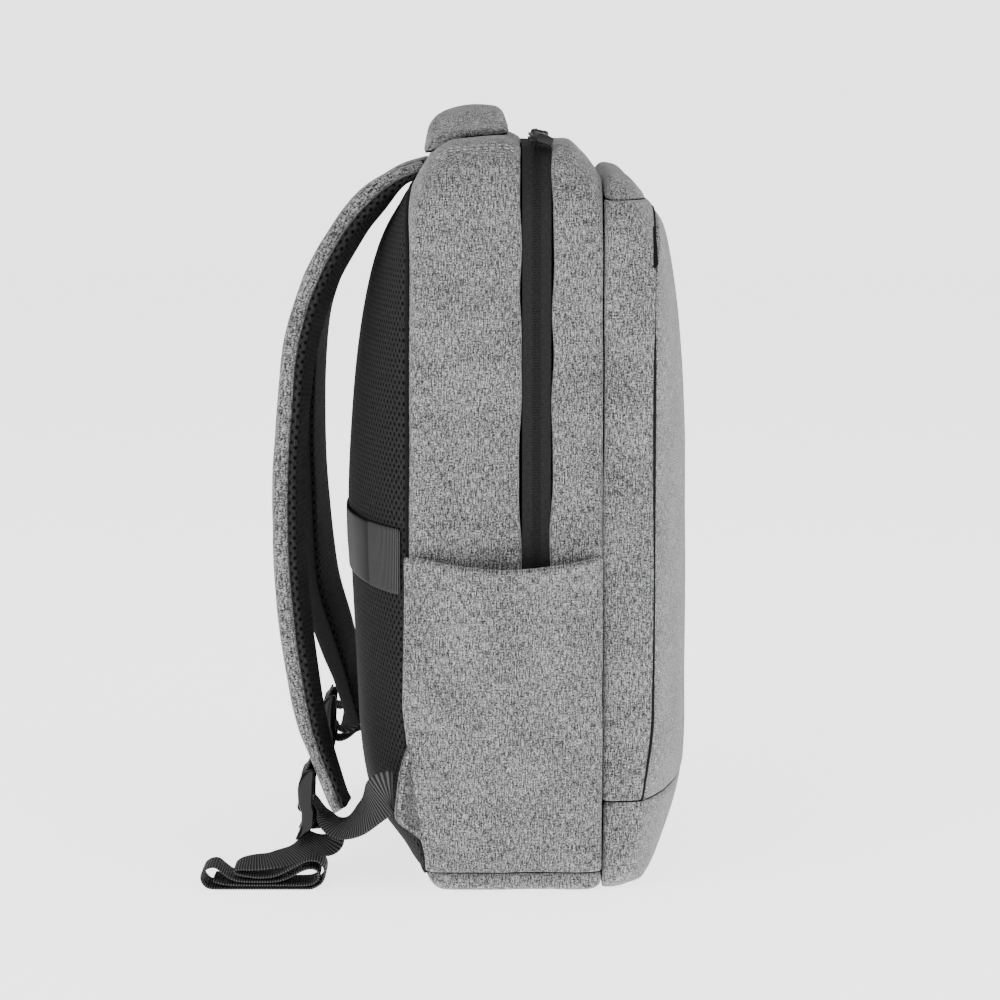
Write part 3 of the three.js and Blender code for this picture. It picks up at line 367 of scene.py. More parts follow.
cloth = heatherCloth("heatherCloth")
# painted shade: a darker copy of the heather cloth, standing in for the shade on the wings
paintedShadeCloth = heatherCloth("paintedShadeHeather", heather["light"] * 0.5, heather["dark"] * 0.7)
meshFabric = meshCloth("airMesh")
webbingFabric = ribbedWebbing("ribbedWebbing")
tapeFabric = wovenBlack("zipTape", 0.0083, 0.0227, 0.85)
bandFabric = wovenBlack("luggageBand", 0.0012, 0.0026, 0.6, (1500, 160, 1))
bindingFabric = wovenBlack("edgeBinding", 0.004, 0.010, 0.8)
threadGrey = hardFinish("greyThread", 0.45, 0.8, 2500.0)
coilPlastic = hardFinish("zipCoil", 0.006, 0.5, shine=0.25)
sliderMetal = hardFinish("sliderEnamel", 0.010, 0.3, 700.0, 0.00001)
pullRubber = hardFinish("pullRubber", 0.004, 0.4, shine=0.3)
bucklePlastic = hardFinish("bucklePlastic", 0.002, 0.16, 500.0, 0.000008, shine=0.25)
tabRubber = hardFinish("frontTab", 0.003, 0.55, shine=0.12)
print("materials made")

# Form of the main section, in millimetres
main = {"height": 431, "half": 145, "depth": 108, "front": -41.2, "turn": 40, "foot": 5, "barrel": 0.6}
mainSections = [
    # share of the depth, top, half, lift
    (0.0, 0.942, 0.975, 0.006), (0.03, 0.956, 0.985, 0), (0.085, 0.973, 0.993, 0), (0.17, 0.99, 0.999, 0),
    (0.263, 0.989, 0.99, 0), (0.432, 0.99, 0.99, 0), (0.52, 1.0, 1.0, 0), (0.8, 0.996, 1.0, 0),
    (0.91, 0.981, 0.995, 0), (0.96, 0.964, 0.988, 0.003), (1.0, 0.94, 0.975, 0.012),
]
mainTop = column(mainSections, 0, 1)
mainHalf = column(mainSections, 0, 2)
mainLift = column(mainSections, 0, 3)
rearSeam = curve([(0, 0.914), (0.044, 0.921), (0.084, 0.957), (0.151, 1.0), (0.21, 1.016), (0.4, 1.006),
                  (0.9, 1.002), (1.0, 0.965)])
frontSeam = curve([(0, 0.55), (0.128, 0.81), (0.24, 1.0), (1.0, 1.0)])
padCrown = curve([(0, 0.3), (0.03, 0.42), (0.08, 0.83), (0.195, 0.84), (0.34, 0.91), (0.485, 1.0), (0.625, 0.94),
                  (0.766, 0.75), (0.85, 0.53), (0.945, 0.04), (1.0, 0)])
frontCrown = curve([(0, 0.72), (0.019, 0.9), (0.07, 1.12), (0.123, 1.22), (0.24, 1.0), (0.48, 1.0), (0.65, 0.95),
                    (0.765, 0.8), (0.835, 0.6), (0.884, 0.35), (0.907, 0), (1.0, 0)])
pocket = {"depth": 29.5, "crown": 24.5, "baseSeam": 52, "topSeam": 396}
pocketSections = [
    # share of the depth, top, half, turn, foot
    (0.0, 0.94, 0.972, 1.0, 2.0), (0.17, 0.953, 0.985, 1.05, 2.1), (0.45, 0.95, 0.985, 1.08, 2.4),
    (0.75, 0.93, 0.98, 1.1, 3.2), (1.0, 0.907, 0.965, 1.12, 4.2),
]
pocketTop, pocketHalf, pocketTurn, pocketFoot = [column(pocketSections, 0, k) for k in (1, 2, 3, 4)]
pad = {"middle": 0.46, "bulge": 40.4, "shellPart": 0.6, "rim": 2.6}
middleZ = main["height"] * pad["middle"]


def rearEdge(z):
    return main["front"] + main["depth"] * rearSeam(z / main["height"])


def frontEdge(z):
    return main["front"] - pocket["depth"] * frontSeam(z / main["height"])


def outlinePoint(half, low, high, topTurn, foot, t):
    # once round in X and Z from the middle of the foot, t from 0 to 1
    side = 1 if t <= 0.5 else -1
    s = 2 * t if t <= 0.5 else 2 * (1 - t)
    marks = (0.2, 0.3, 0.7, 0.84)
    if s < marks[0]:
        x, z = (half - foot) * s / marks[0], low
    elif s < marks[1]:
        a = (s - marks[0]) / (marks[1] - marks[0]) * math.pi / 2
        x, z = half - foot + foot * math.sin(a), low + foot - foot * math.cos(a)
    elif s < marks[2]:
        share = (s - marks[1]) / (marks[2] - marks[1])
        x = half + main["barrel"] * (1 - (2 * share - 1) ** 2)
        z = low + foot + (high - topTurn - low - foot) * share
    elif s < marks[3]:
        a = (s - marks[2]) / (marks[3] - marks[2]) * math.pi / 2
        x, z = half - topTurn + topTurn * math.cos(a), high - topTurn + topTurn * math.sin(a)
    else:
        x, z = (half - topTurn) * (1 - s) / (1 - marks[3]), high
    return side * x, z


def mainPoint(share, t, inset=0.0):
    x, z = outlinePoint(
        main["half"] * mainHalf(share) - inset, main["height"] * mainLift(share) + inset,
        main["height"] * mainTop(share) - inset, main["turn"] - inset, main["foot"] - inset, t)
    lean = (rearEdge(z) - main["front"] - main["depth"]) * max(0, 2 * share - 1)
    return Vector((x, main["front"] + main["depth"] * share + lean, z))


def pocketPoint(out, t, inset=0.0):
    x, z = outlinePoint(
        main["half"] * pocketHalf(out) - inset, inset, main["height"] * pocketTop(out) - inset,
        main["turn"] * pocketTurn(out) - inset, main["foot"] * pocketFoot(out) - inset, t)
    start = main["front"] - 0.3
    return Vector((x, start + (frontEdge(z) - start) * out, z))


def rearDome(x, z, part):
    edge = main["half"] * mainSections[-1][2]
    return rearEdge(z) + part * pad["bulge"] * padCrown(z / main["height"]) * max(0, 1 - (x / edge) ** 2) ** 0.8


def frontDome(x, z):
    edge = main["half"] * pocketSections[-1][2]
    crown = pocket["crown"] * frontCrown(z / main["height"])
    return frontEdge(z) - crown * max(0, 1 - (x / edge) ** 2) ** 0.75


def shrunk(point, share, yAt):
    x, z = point.x * share, middleZ + (point.z - middleZ) * share
    return Vector((x, yAt(x, z), z))


def stationMesh(nu, stations):
    # a closed band through stations, each a function of the place round it
    def place(u, v):
        return stations[round(v * (len(stations) - 1))](u % 1.0)
    return gridMesh(nu, len(stations) - 1, place, closed=True)


def mainStation(share, inset=0.0):
    return lambda t: mainPoint(share, t, inset)


def shareAt(y):
    return (y - main["front"]) / main["depth"]


# Main section: rear part, front part and base
shell = {"round": 200, "wall": 2.2, "zipFront": -12.4, "zipBack": 5.1, "baseSeam": 11, "seamGap": 0.3, "roll": 1.0}
bodyCentre = (0, 10, 215)


def clothWaves(bm, seed, big=1.2, small=0.35):
    ripple(bm, big, 75, seed)
    ripple(bm, small, 24, seed + 5)


def wander(station, amount, seed):
    # lets a cloth edge wander along Y
    def place(t):
        p = station(t)
        p.y += amount * noise.noise(Vector((p.x / 30, seed, p.z / 30)))
        return p
    return place


zipBackShare = shareAt(shell["zipBack"])
rearStations = [mainStation(zipBackShare, 2.6), mainStation(zipBackShare + 0.0015, 1.2),
                mainStation(zipBackShare + 0.007, 0.1), mainStation(zipBackShare + 0.02, -0.35),
                mainStation(zipBackShare + 0.045, -0.2)]
rearStations = [wander(station, 2.2, 1.7) for station in rearStations]
rearStations += [mainStation(share) for share in between(zipBackShare + 0.075, 1.0, 17)]
for share in (0.99, 0.978, 0.96, 0.93, 0.88):
    rearStations.append(lambda t, s=share: shrunk(mainPoint(1.0, t), s, lambda x, z: rearDome(x, z, 0.6)))
rearCloth = stationMesh(shell["round"], rearStations)
cut(rearCloth, (0, 0, shell["baseSeam"] + shell["seamGap"]), (0, 0, 1), "front")
faceOut(rearCloth, bodyCentre)
clothWaves(rearCloth, 1.7)
rollSeam(rearCloth, (0, 0, shell["baseSeam"] + shell["seamGap"]), (0, 0, 1), shell["roll"], 4.5)
boxUv(rearCloth)
rearSurface = BVHTree.FromBMesh(rearCloth)
addPiece("shell_rear", rearCloth, cloth, ("main_shell",), wall=shell["wall"])

zipFrontShare = shareAt(shell["zipFront"])
frontStations = [lambda t, s=share: shrunk(mainPoint(0.0, t), s, lambda x, z: main["front"]) for share in (0.9, 0.97)]
frontStations += [mainStation(share) for share in between(0.0, zipFrontShare - 0.06, 12)]
zipEdge = [mainStation(zipFrontShare - 0.03, -0.2), mainStation(zipFrontShare - 0.014, -0.35),
           mainStation(zipFrontShare - 0.006, 0.1), mainStation(zipFrontShare - 0.0015, 1.2),
           mainStation(zipFrontShare, 2.6)]
frontStations += [wander(station, 2.2, 8.3) for station in zipEdge]
frontCloth = stationMesh(shell["round"], frontStations)
cut(frontCloth, (0, 0, shell["baseSeam"] + shell["seamGap"]), (0, 0, 1), "front")
faceOut(frontCloth, bodyCentre)
clothWaves(frontCloth, 4.1, 1.0, 0.35)
rollSeam(frontCloth, (0, 0, shell["baseSeam"] + shell["seamGap"]), (0, 0, 1), shell["roll"], 4.5)
boxUv(frontCloth)
addPiece("shell_front", frontCloth, cloth, wall=shell["wall"])

baseStations = [lambda t, s=share: shrunk(mainPoint(0.0, t), s, lambda x, z: main["front"]) for share in (0.97,)]
baseStations += [mainStation(share) for share in between(0.0, 1.0, 25)]
baseStations.append(lambda t: shrunk(mainPoint(1.0, t), 0.985, lambda x, z: rearDome(x, z, 0.6)))
baseCloth = stationMesh(shell["round"], baseStations)
cut(baseCloth, (0, 0, shell["baseSeam"] - shell["seamGap"]), (0, 0, -1), "front")
faceOut(baseCloth, (0, 10, 40))
rollSeam(baseCloth, (0, 0, shell["baseSeam"] - shell["seamGap"]), (0, 0, -1), shell["roll"], 4.5)
boxUv(baseCloth)
addPiece("base_cloth", baseCloth, cloth, ("base_panel",), wall=1.8)
print("main section made")

# Zip: tape between the two cloth edges and two rows of teeth
zipTape = {"low": 150, "inset": 1.05, "teethPitch": 1.55, "tooth": (2.0, 0.85, 0.55), "apart": 1.25}
zipMiddle = (shell["zipFront"] + shell["zipBack"]) / 2
tapeStations = [mainStation(shareAt(y), zipTape["inset"]) for y in between(shell["zipFront"] + 0.4, shell["zipBack"] - 0.4, 11)]
tapeCloth = stationMesh(shell["round"], tapeStations)
cut(tapeCloth, (0, 0, zipTape["low"]), (0, 0, 1), "front")
faceOut(tapeCloth, bodyCentre)
boxUv(tapeCloth)
addPiece("zip_tape", tapeCloth, tapeFabric, ("main_zip_tape",), wall=1.0)


def pathPlaces(pointAt, start, end, pitch, samples=2400):
    # places at an even distance along a path, with the way along it
    points = [pointAt(t) for t in between(start, end, samples)]
    places, walked, target = [], 0.0, pitch / 2
    for a, b in zip(points, points[1:]):
        run = (b - a).length
        while run > 0 and walked + run >= target:
            places.append((a.lerp(b, (target - walked) / run), (b - a).normalized()))
            target += pitch
        walked += run
    return places


def outFrom(place, centre=Vector((0, 0, 215))):
    out = Vector((place.x, 0, 0)) if place.z < 391 else Vector((place.x, 0, place.z - 391))
    if abs(place.x) < 105:
        out = Vector((0, 0, 1))
    elif place.z >= 391:
        out = Vector((math.copysign(abs(place.x) - 105, place.x), 0, place.z - 391))
    return out.normalized()


def addBlock(bm, place, along, out, size, turn=0.0):
    # one small rounded block; size is along, across and high
    across = out.cross(along).normalized()
    a = math.radians(turn)
    axisA = along * math.cos(a) + across * math.sin(a)
    axisB = across * math.cos(a) - along * math.sin(a)
    made = bmesh.ops.create_icosphere(bm, subdivisions=1, radius=0.5)
    for v in made["verts"]:
        x, y, z = v.co
        spot = place + axisA * x * size[0] + axisB * y * size[1] + out * z * size[2]
        v.co = spot * mm


teeth = bmesh.new()
for sign in (-1, 1):
    y = zipMiddle + sign * zipTape["apart"]
    path = lambda t, level=y: mainPoint(shareAt(zipMiddle), t, 0.75) + Vector((0, level - zipMiddle, 0))
    for place, along in pathPlaces(path, 0.19, 0.81, zipTape["teethPitch"]):
        if place.z > zipTape["low"] + 1:
            addBlock(teeth, place, along, outFrom(place), (0.95, 2.1, 0.8), 12 * sign)
addPiece("zip_teeth", teeth, coilPlastic, ("main_zip_coil",), smooth=0)
print("zip made")

# Front pocket
gussetStations = [lambda t: pocketPoint(0.0, t, 4.5), lambda t: pocketPoint(0.0, t, 1.2)]
gussetStations += [lambda t, s=out: pocketPoint(s, t) for out in between(0.03, 0.9, 11)]
gussetStations += [lambda t: pocketPoint(0.95, t, -0.1), lambda t: pocketPoint(0.98, t, 0.35), lambda t: pocketPoint(0.995, t, 1.5)]
gap = 0.25
pocketCentre = (0, -55, 210)
for name, low, high, nodes in (
        ("pocket_gusset", pocket["baseSeam"], pocket["topSeam"], ("front_gusset_left", "front_gusset_right")),
        ("pocket_top", pocket["topSeam"], None, ("front_top",))):
    band = stationMesh(shell["round"], gussetStations)
    cut(band, (0, 0, low + gap), (0, 0, 1), "front")
    if high:
        cut(band, (0, 0, high - gap), (0, 0, -1), "front")
    faceOut(band, pocketCentre)
    clothWaves(band, 7.3, 0.8, 0.3)
    rollSeam(band, (0, 0, low + gap), (0, 0, 1), 1.1, 4)
    if high:
        rollSeam(band, (0, 0, high - gap), (0, 0, -1), 0.8, 3.5)
    boxUv(band)
    addPiece(name, band, cloth, nodes, wall=2.0)

panelStations = [lambda t: shrunk(pocketPoint(1.0, t, 1.4), 1.0, lambda x, z: frontEdge(z) + 0.6),
                 lambda t: shrunk(pocketPoint(1.0, t, 0.5), 1.0, lambda x, z: frontEdge(z) - 0.4)]
for share in (0.992, 0.98, 0.955, 0.92, 0.87, 0.8, 0.72, 0.62, 0.5, 0.38, 0.26, 0.14, 0.05, 0.0):
    panelStations.append(lambda t, s=share: shrunk(pocketPoint(1.0, t), s, lambda x, z: frontDome(x, z)))
for name, keepAbove, node in (("pocket_panel", True, "front_panel"), ("pocket_base", False, "front_base")):
    if keepAbove:
        panel = stationMesh(shell["round"], panelStations)
    else:
        panel = stationMesh(shell["round"], gussetStations[:-2] + [lambda t: pocketPoint(1.0, t, 0.1)] + panelStations[2:])
    up = 1 if keepAbove else -1
    seam = (0, 0, pocket["baseSeam"] + up * gap)
    cut(panel, seam, (0, 0, up), "front")
    faceOut(panel, (0, -40, 210) if keepAbove else (0, -45, 60))
    clothWaves(panel, 9.9, 1.2, 0.35)
    rollSeam(panel, seam, (0, 0, up), 1.2, 4.5)
    boxUv(panel)
    addPiece(name, panel, cloth, (node,), wall=2.0)
print("front pocket made")

# Side pockets: open cloth pockets that gape a little towards the top
sidePocket = {"low": 12, "high": 194, "sag": 6, "bulge": 12, "wrap": 4, "wall": 1.5, "seat": 1.3, "hem": 9}


def sideX(share, z):
    # half width of the main section's side at a height
    low = main["height"] * mainLift(share)
    high = main["height"] * mainTop(share)
    half = main["half"] * mainHalf(share)
    if z < low + main["foot"]:
        rise = min(1, max(0, (low + main["foot"] - z) / main["foot"]))
        return half - main["foot"] + main["foot"] * math.sqrt(1 - rise * rise)
    share2 = (z - low - main["foot"]) / (high - main["turn"] - low - main["foot"])
    return half + main["barrel"] * (1 - (2 * min(1, share2) - 1) ** 2)


def sidePocketPoint(sign, share, v, off=0.0):
    across = math.sin(math.pi * min(1, max(0, share)))
    high = sidePocket["high"] - sidePocket["sag"] * across
    z = sidePocket["low"] + (high - sidePocket["low"]) * v
    bulge = sidePocket["bulge"] * across ** 0.8 * v ** 1.3
    fold = 0.8 * noise.noise(Vector((share * 2.2, z / 70, 2.0 * sign))) * across
    x = sideX(share, z) + sidePocket["seat"] + bulge + fold + off
    lean = (rearEdge(z) - main["front"] - main["depth"]) * max(0, 2 * share - 1)
    return Vector((sign * x, main["front"] + main["depth"] * share + lean, z))


hemSurfaces = {}
for sign, side in ((-1, "left"), (1, "right")):
    def pocketPlace(u, v, sign=sign):
        share = u * 1.035
        p = sidePocketPoint(sign, min(share, 1.0), v, sidePocket["wall"])
        if share > 1:
            turned = min(1, max(0.1, (p.z - 80) / 25))
            p.y += (share - 1) / 0.035 * sidePocket["wrap"] * turned
            p.x -= sign * (share - 1) / 0.035 * 1.6
        if share < 0.03:
            p.x -= sign * (0.03 - share) / 0.03 * 1.4
            p.y += 0.4
        return p
    pocketCloth = gridMesh(46, 60, pocketPlace)
    faceOut(pocketCloth, (0, 12, 100))
    ripple(pocketCloth, 0.5, 28, 3.3 * sign)
    boxUv(pocketCloth)
    addPiece(f"side_pocket_cloth_{side}", pocketCloth, cloth, (f"side_pocket_{side}",), wall=sidePocket["wall"])

    def hemPlace(u, v, sign=sign):
        # the turned hem: a flat roll that runs over the edge
        top = 1.0
        down = sidePocket["hem"] / (sidePocket["high"] - sidePocket["low"])
        share = 0.012 + u * 0.978
        if v < 0.42:
            level, off = top - down * (1 - v / 0.42), sidePocket["wall"] + 0.35
        elif v > 0.58:
            level, off = top - down * ((v - 0.58) / 0.42), -0.3
        else:
            turn = (v - 0.42) / 0.16 * math.pi
            level, off = top, sidePocket["wall"] / 2 + 0.03 + (sidePocket["wall"] / 2 + 0.35) * math.cos(turn)
            p = sidePocketPoint(sign, share, top, off)
            p.z += 1.0 * math.sin(turn)
            return p
        return sidePocketPoint(sign, share, level, off)
    hem = gridMesh(60, 26, hemPlace)
    faceOut(hem, (sign * 140, 12, 185))
    boxUv(hem)
    hemSurfaces[sign] = BVHTree.FromBMesh(hem)
    addPiece(f"side_pocket_hem_{side}", hem, cloth, smooth=1)
print("side pockets made")

# Back pad of spacer mesh, with its luggage band
padShares = [0.972, 0.969, 0.962, 0.95, 0.93, 0.9, 0.86, 0.8, 0.72, 0.62, 0.5, 0.38, 0.26, 0.14, 0.05, 0.0]


def padSurface(x, z):
    return rearDome(x, z, 1) + pad["rim"] / 2


padStations = [lambda t: shrunk(mainPoint(1.0, t), 0.974, lambda x, z: rearDome(x, z, 0.6) + 0.3)]
for i, share in enumerate(padShares):
    settle = (0.35, 0.7, 0.9)[i] if i < 3 else 1.0

    def padPlace(t, s=share, k=settle):
        def level(x, z):
            low = rearDome(x, z, 0.6) + 0.3
            return low + (padSurface(x, z) - low) * k
        return shrunk(mainPoint(1.0, t), s, level)
    padStations.append(padPlace)
backCloth = stationMesh(160, padStations)
faceOut(backCloth, (0, 20, 200))
ripple(backCloth, 0.8, 60, 2.2)
boxUv(backCloth)
backPiece = addPiece("back_mesh", backCloth, meshFabric, ("back_pad",), wall=2.0)

luggage = {"low": 171, "high": 209, "lift": 0.6, "thick": 1.3, "web": 38}
padReach = main["half"] * mainSections[-1][2] * 0.972


def bandMesh(x0, x1, low, high, lift, thick, across=40, sway=0.0):
    def place(u, v):
        x = x0 + (x1 - x0) * u
        z = low + (high - low) * v
        wave = sway * noise.noise(Vector((x / 30, z / 18, 4)))
        return Vector((x, padSurface(x, z) + lift + thick + wave, z))
    return gridMesh(across, 14, place, uvPlace=lambda u, v: ((x1 - x0) * u * mm, (high - low) * v * mm))


webStart = padReach - luggage["web"]
bandCloth = bandMesh(-webStart - 3, webStart + 3, luggage["low"] + 0.4, luggage["high"] - 0.4, luggage["lift"] - 0.2, luggage["thick"] - 0.2, 60, 0.5)
faceOut(bandCloth, (0, 20, 190))
addPiece("luggage_band", bandCloth, bandFabric, ("trolley_band",), wall=1.0)
for sign, side in ((-1, "left"), (1, "right")):
    web = bandMesh(sign * webStart, sign * (padReach + 0.3), luggage["low"], luggage["high"], luggage["lift"] + 0.2, luggage["thick"], 16)
    layer = web.loops.layers.uv.verify()
    for face in web.faces:
        for loop in face.loops:
            loop[layer].uv = (loop.vert.co.z, loop.vert.co.x)
    faceOut(web, (0, 20, 190))
    addPiece(f"luggage_web_{side}", web, webbingFabric, (f"trolley_web_{side}",), wall=1.3)
print("back pad made")


# Straps and webbing: sweeps along frames
def spline(points, steps):
    # Catmull-Rom through points, with steps between each two
    made = []
    last = len(points) - 1
    for i in range(last):
        a, b, c, d = points[max(i - 1, 0)], points[i], points[i + 1], points[min(i + 2, last)]
        for k in range(steps):
            t = k / steps
            made.append((b * 2 + (c - a) * t + (a * 2 - b * 5 + c * 4 - d) * t * t
                         + (b * 3 - a - c * 3 + d) * t ** 3) * 0.5)
    made.append(points[last])
    return made


def sweepMesh(points, acrosses, widths, thicks, section, uvSpan=None):
    count = len(points)
    frames, lengths = [], [0.0]
    for i in range(count):
        along = (points[min(i + 1, count - 1)] - points[max(i - 1, 0)]).normalized()
        across = (acrosses[i] - along * acrosses[i].dot(along)).normalized()
        frames.append((points[i], across, across.cross(along).normalized()))
        if i:
            lengths.append(lengths[-1] + (points[i] - points[i - 1]).length)
    ring = [Vector(p) for p in section]
    perimeter = [0.0]
    for i in range(len(ring)):
        a, b = ring[i], ring[(i + 1) % len(ring)]
        perimeter.append(perimeter[-1] + math.hypot((b.x - a.x) * widths[0], (b.y - a.y) * thicks[0]))

    def place(u, v):
        i = round(v * (count - 1))
        k = round(u * len(ring)) % len(ring)
        centre, across, out = frames[i]
        return centre + across * ring[k].x * widths[i] + out * ring[k].y * thicks[i]

    def uvPlace(u, v):
        return (perimeter[round(u * len(ring))] * mm, lengths[round(v * (count - 1))] * mm)
    bm = gridMesh(len(ring), count - 1, place, closed=True, uvPlace=uvPlace)
    open_ = [e for e in bm.edges if e.is_boundary]
    bmesh.ops.holes_fill(bm, edges=open_, sides=0)
    bmesh.ops.recalc_face_normals(bm, faces=bm.faces[:])
    return bm


def roundedSection(low, high, turn, steps=4, half=0.5, sides=5):
    # a rounded rectangle in shares of width and thickness, between two levels
    points = []
    for k in range(sides + 1):
        points.append((-half + turn + (2 * half - 2 * turn) * k / sides, low))
    for k in range(1, steps + 1):
        a = k / steps * math.pi
        points.append((half - turn + turn * math.sin(a), (low + high) / 2 - (high - low) / 2 * math.cos(a)))
    for k in range(1, sides + 1):
        points.append((half - turn - (2 * half - 2 * turn) * k / sides, high))
    for k in range(1, steps):
        a = k / steps * math.pi
        points.append((-half + turn - turn * math.sin(a), (low + high) / 2 + (high - low) / 2 * math.cos(a)))
    return points


strap = {"seamHigh": 0.9542, "seamIn": 0.7, "reach": 77, "low": 39.3, "farLow": 57.3, "width": 60, "thick": 9.5, "mesh": 2.3}
strapRows = [
    # down, out, far, side, wide, thick, turn, farTurn
    (-0.004, -0.06, -0.06, 0.36, 0.95, 0.5, 0, 0), (0.0134, 0.152, 0.152, 0.365, 0.97, 0.75, -1, 0),
    (0.043, 0.334, 0.334, 0.375, 1, 1, -2, 1), (0.0734, 0.466, 0.466, 0.385, 1, 1, -2, 1),
    (0.1145, 0.6, 0.6, 0.4, 1, 1, -3, 2), (0.156, 0.713, 0.713, 0.415, 1, 1, -3, 2),
    (0.201, 0.803, 0.803, 0.43, 1, 1, -4, 3), (0.2465, 0.874, 0.87, 0.44, 1, 1, -4, 3),
    (0.2975, 0.925, 0.915, 0.455, 1, 1, -4, 4), (0.3636, 0.958, 0.94, 0.475, 1, 1, -4, 4),
    (0.4684, 0.999, 0.955, 0.49, 0.98, 1, -4, 5), (0.5808, 1, 0.94, 0.51, 0.97, 1, -4, 6),
    (0.67, 0.973, 0.915, 0.53, 0.95, 1, -4, 8), (0.7525, 0.927, 0.87, 0.55, 0.93, 1, -4, 10),
    (0.8538, 0.842, 0.735, 0.6, 0.88, 0.92, -3, 10), (0.9118, 0.75, 0.655, 0.63, 0.85, 0.72, -2, 8),
    (0.9777, 0.626, 0.585, 0.68, 0.82, 0.65, 0, 6), (1.0, 0.57, 0.56, 0.69, 0.81, 0.6, 0, 5),
]
rearY = main["front"] + main["depth"]
strapLook = {
    "outerLow": -0.47, "outerHigh": 0.54, "innerLow": -1.0,
    "topTurn": [(0, 0), (0.04, 5), (0.12, 4), (0.25, 1), (0.36, -1), (0.5, -2), (1, -2)],
}
extraTurn = curve(strapLook["topTurn"])


def strapLine(sign):
    seamZ = main["height"] * strap["seamHigh"]
    drop = seamZ - (strap["low"] if sign < 0 else strap["farLow"])
    points, acrosses, widths, thicks = [], [], [], []
    for down, out, far, side, wide, thick, turn, farTurn in strapRows:
        points.append(Vector((sign * main["half"] * side, rearY - strap["seamIn"] + strap["reach"] * (out if sign < 0 else far), seamZ - drop * down)))
        a = math.radians(turn - extraTurn(down) if sign < 0 else -farTurn)
        acrosses.append(Vector((math.cos(a), math.sin(a), 0)))
        widths.append(Vector((strap["width"] * wide, strap["thick"] * thick, 0)))
        thicks.append(0)
    steps = 5
    sizes = spline(widths, steps)
    return spline(points, steps), spline(acrosses, steps), [s.x for s in sizes], [s.y for s in sizes]


for sign, side in ((-1, "left"), (1, "right")):
    points, acrosses, widths, thicks = strapLine(sign)
    coverSection = roundedSection(strapLook["outerLow"], strapLook["outerHigh"], 0.07, 5, 0.5, 10)
    cover = sweepMesh(points, acrosses, widths, thicks, coverSection)
    ripple(cover, 0.5, 26, 6 * sign)
    ripple(cover, 0.35, 9, 11 * sign)
    coverPiece = addPiece(f"strap_outer_{side}", cover, cloth, (f"strap_cover_{side}",))
    meshSection = roundedSection(strapLook["innerLow"], strapLook["outerLow"] + 0.02, 0.05, 6, 0.49, 10)
    inner = sweepMesh(points, acrosses, widths, thicks, meshSection)
    ripple(inner, 0.4, 30, 8 * sign)
    addPiece(f"strap_inner_{side}", inner, meshFabric, (f"strap_mesh_{side}",))
    edge = -0.5 * sign
    rim = [(edge + x, y) for x, y in ((-0.014, -0.85), (0.014, -0.85), (0.02, -0.6), (0.02, 0.1), (0.014, 0.45),
                                      (-0.014, 0.45), (-0.02, 0.1), (-0.02, -0.6))]
    addPiece(f"strap_binding_{side}", sweepMesh(points, acrosses, widths, thicks, rim), bindingFabric)
print("straps made")

webbing = {"width": 25, "thick": 1.4, "gap": 0.7}
leftRoute = [(-4.6, 11.6, 57.4, 90), (-4.7, 14.2, 57.2, 90), (-5.8, 17.6, 55.4, 87), (-8, 22.2, 49.8, 78),
             (-13, 28.2, 42, 55), (-20, 35.2, 36.8, 33), (-29, 42.2, 33.8, 14), (-37, 48.9, 34.8, 4),
             (-41, 54.5, 39.4, 0), (-42, 58.7, 44.8, 0)]
rightRoute = [(-4.9, 10, 56.8, 90), (-5, 12.2, 56.9, 90), (-5.6, 18.2, 57.4, 88), (-7.5, 26.2, 59, 80),
              (-11, 32.7, 59, 62), (-17, 38, 56, 40), (-25.5, 42.2, 52.4, 14), (-35, 46.7, 48.4, 4),
              (-41, 51.7, 46.4, 0), (-42, 55.6, 48.6, 0)]
leftFall = [(-42, 59.5, 37.6, 0), (-40, 53.8, 33, 0)]
rightFall = [(-42, 59.6, 42.8, 0), (-41.5, 54.8, 40.6, 0), (-40, 49.8, 41.6, 0), (-38, 45.4, 44.2, 0),
             (-36, 41.2, 45.6, 5), (-33, 36.8, 43.5, 18), (-30, 33, 39.5, 38), (-29, 29.2, 35, 58),
             (-30.5, 25.2, 31, 76)]
tailRows = [
    # along, lift, tilt, drift
    (-1, 12.6, 0, 0.78), (1.8, 10.5, 0, 0.62), (7.5, 9.4, -2, 0.46), (14, 8.5, -2, 0.3), (23, 7.2, 5, 0.14),
    (32, 6.5, 8, 0.04), (41, 6.15, 8, 0), (48, 5.85, 4, 0), (51.5, 5.3, 0, 0), (52.3, 4.75, 0, 0), (51, 4.2, 0, 0),
    (46, 3.6, 0, 0), (38, 3.15, 0, 0), (29, 3.6, 0, 0), (21, 5.3, 0, 0), (13.5, 7.3, 0, 0), (8, 8, 0, 0),
    (3, 7.4, 0, 0), (0, 5, 0, 0), (1.8, 1.9, 0, 0), (7, 0.25, 0, 0), (13, 0, 0, 0), (38, 0, 0, 0), (63, 0, 0, 0),
    (69, 0.8, 0, 0), (71.5, 3, 0, 0), (69, 5.4, 0, 0), (63.5, 6.1, 0, 0), (59.5, 4.7, 0, 0), (55.5, 3.2, 0, 0),
    (50, 2.2, 0, 0), (41, 2, 0, 0), (28, 2.1, 0, 0), (20, 3.4, 0, 0), (13, 5.2, 0, 0), (8, 5.7, 0, 0),
    (4.2, 5, 0, 0), (4, 2.7, 0, 0), (8, 1.3, 0, 0), (14, 1, 0, 0), (30, 1, 0, 0), (52, 1.05, 0, 0), (60, 1.5, 0, 0),
    (65, 2.3, 0, 0),
]
fallLean = (14, 30, 38, 36, 26, 14, 8)
buckle = {"height": 42, "depth": 8, "bar": 2, "rail": 3.6, "play": 1, "top": (0.12, 0.02), "grip": (0.55, 0.32)}
buckleOrigins = {"left": Vector((-103, rearY + 62, 66.2)), "right": Vector((103, rearY + 59.6, 71.2))}
loopEnds = {"left": (1.6, 7.5, 4.6, 2.6), "right": (1.6, 7.5, 8.8, 5)}
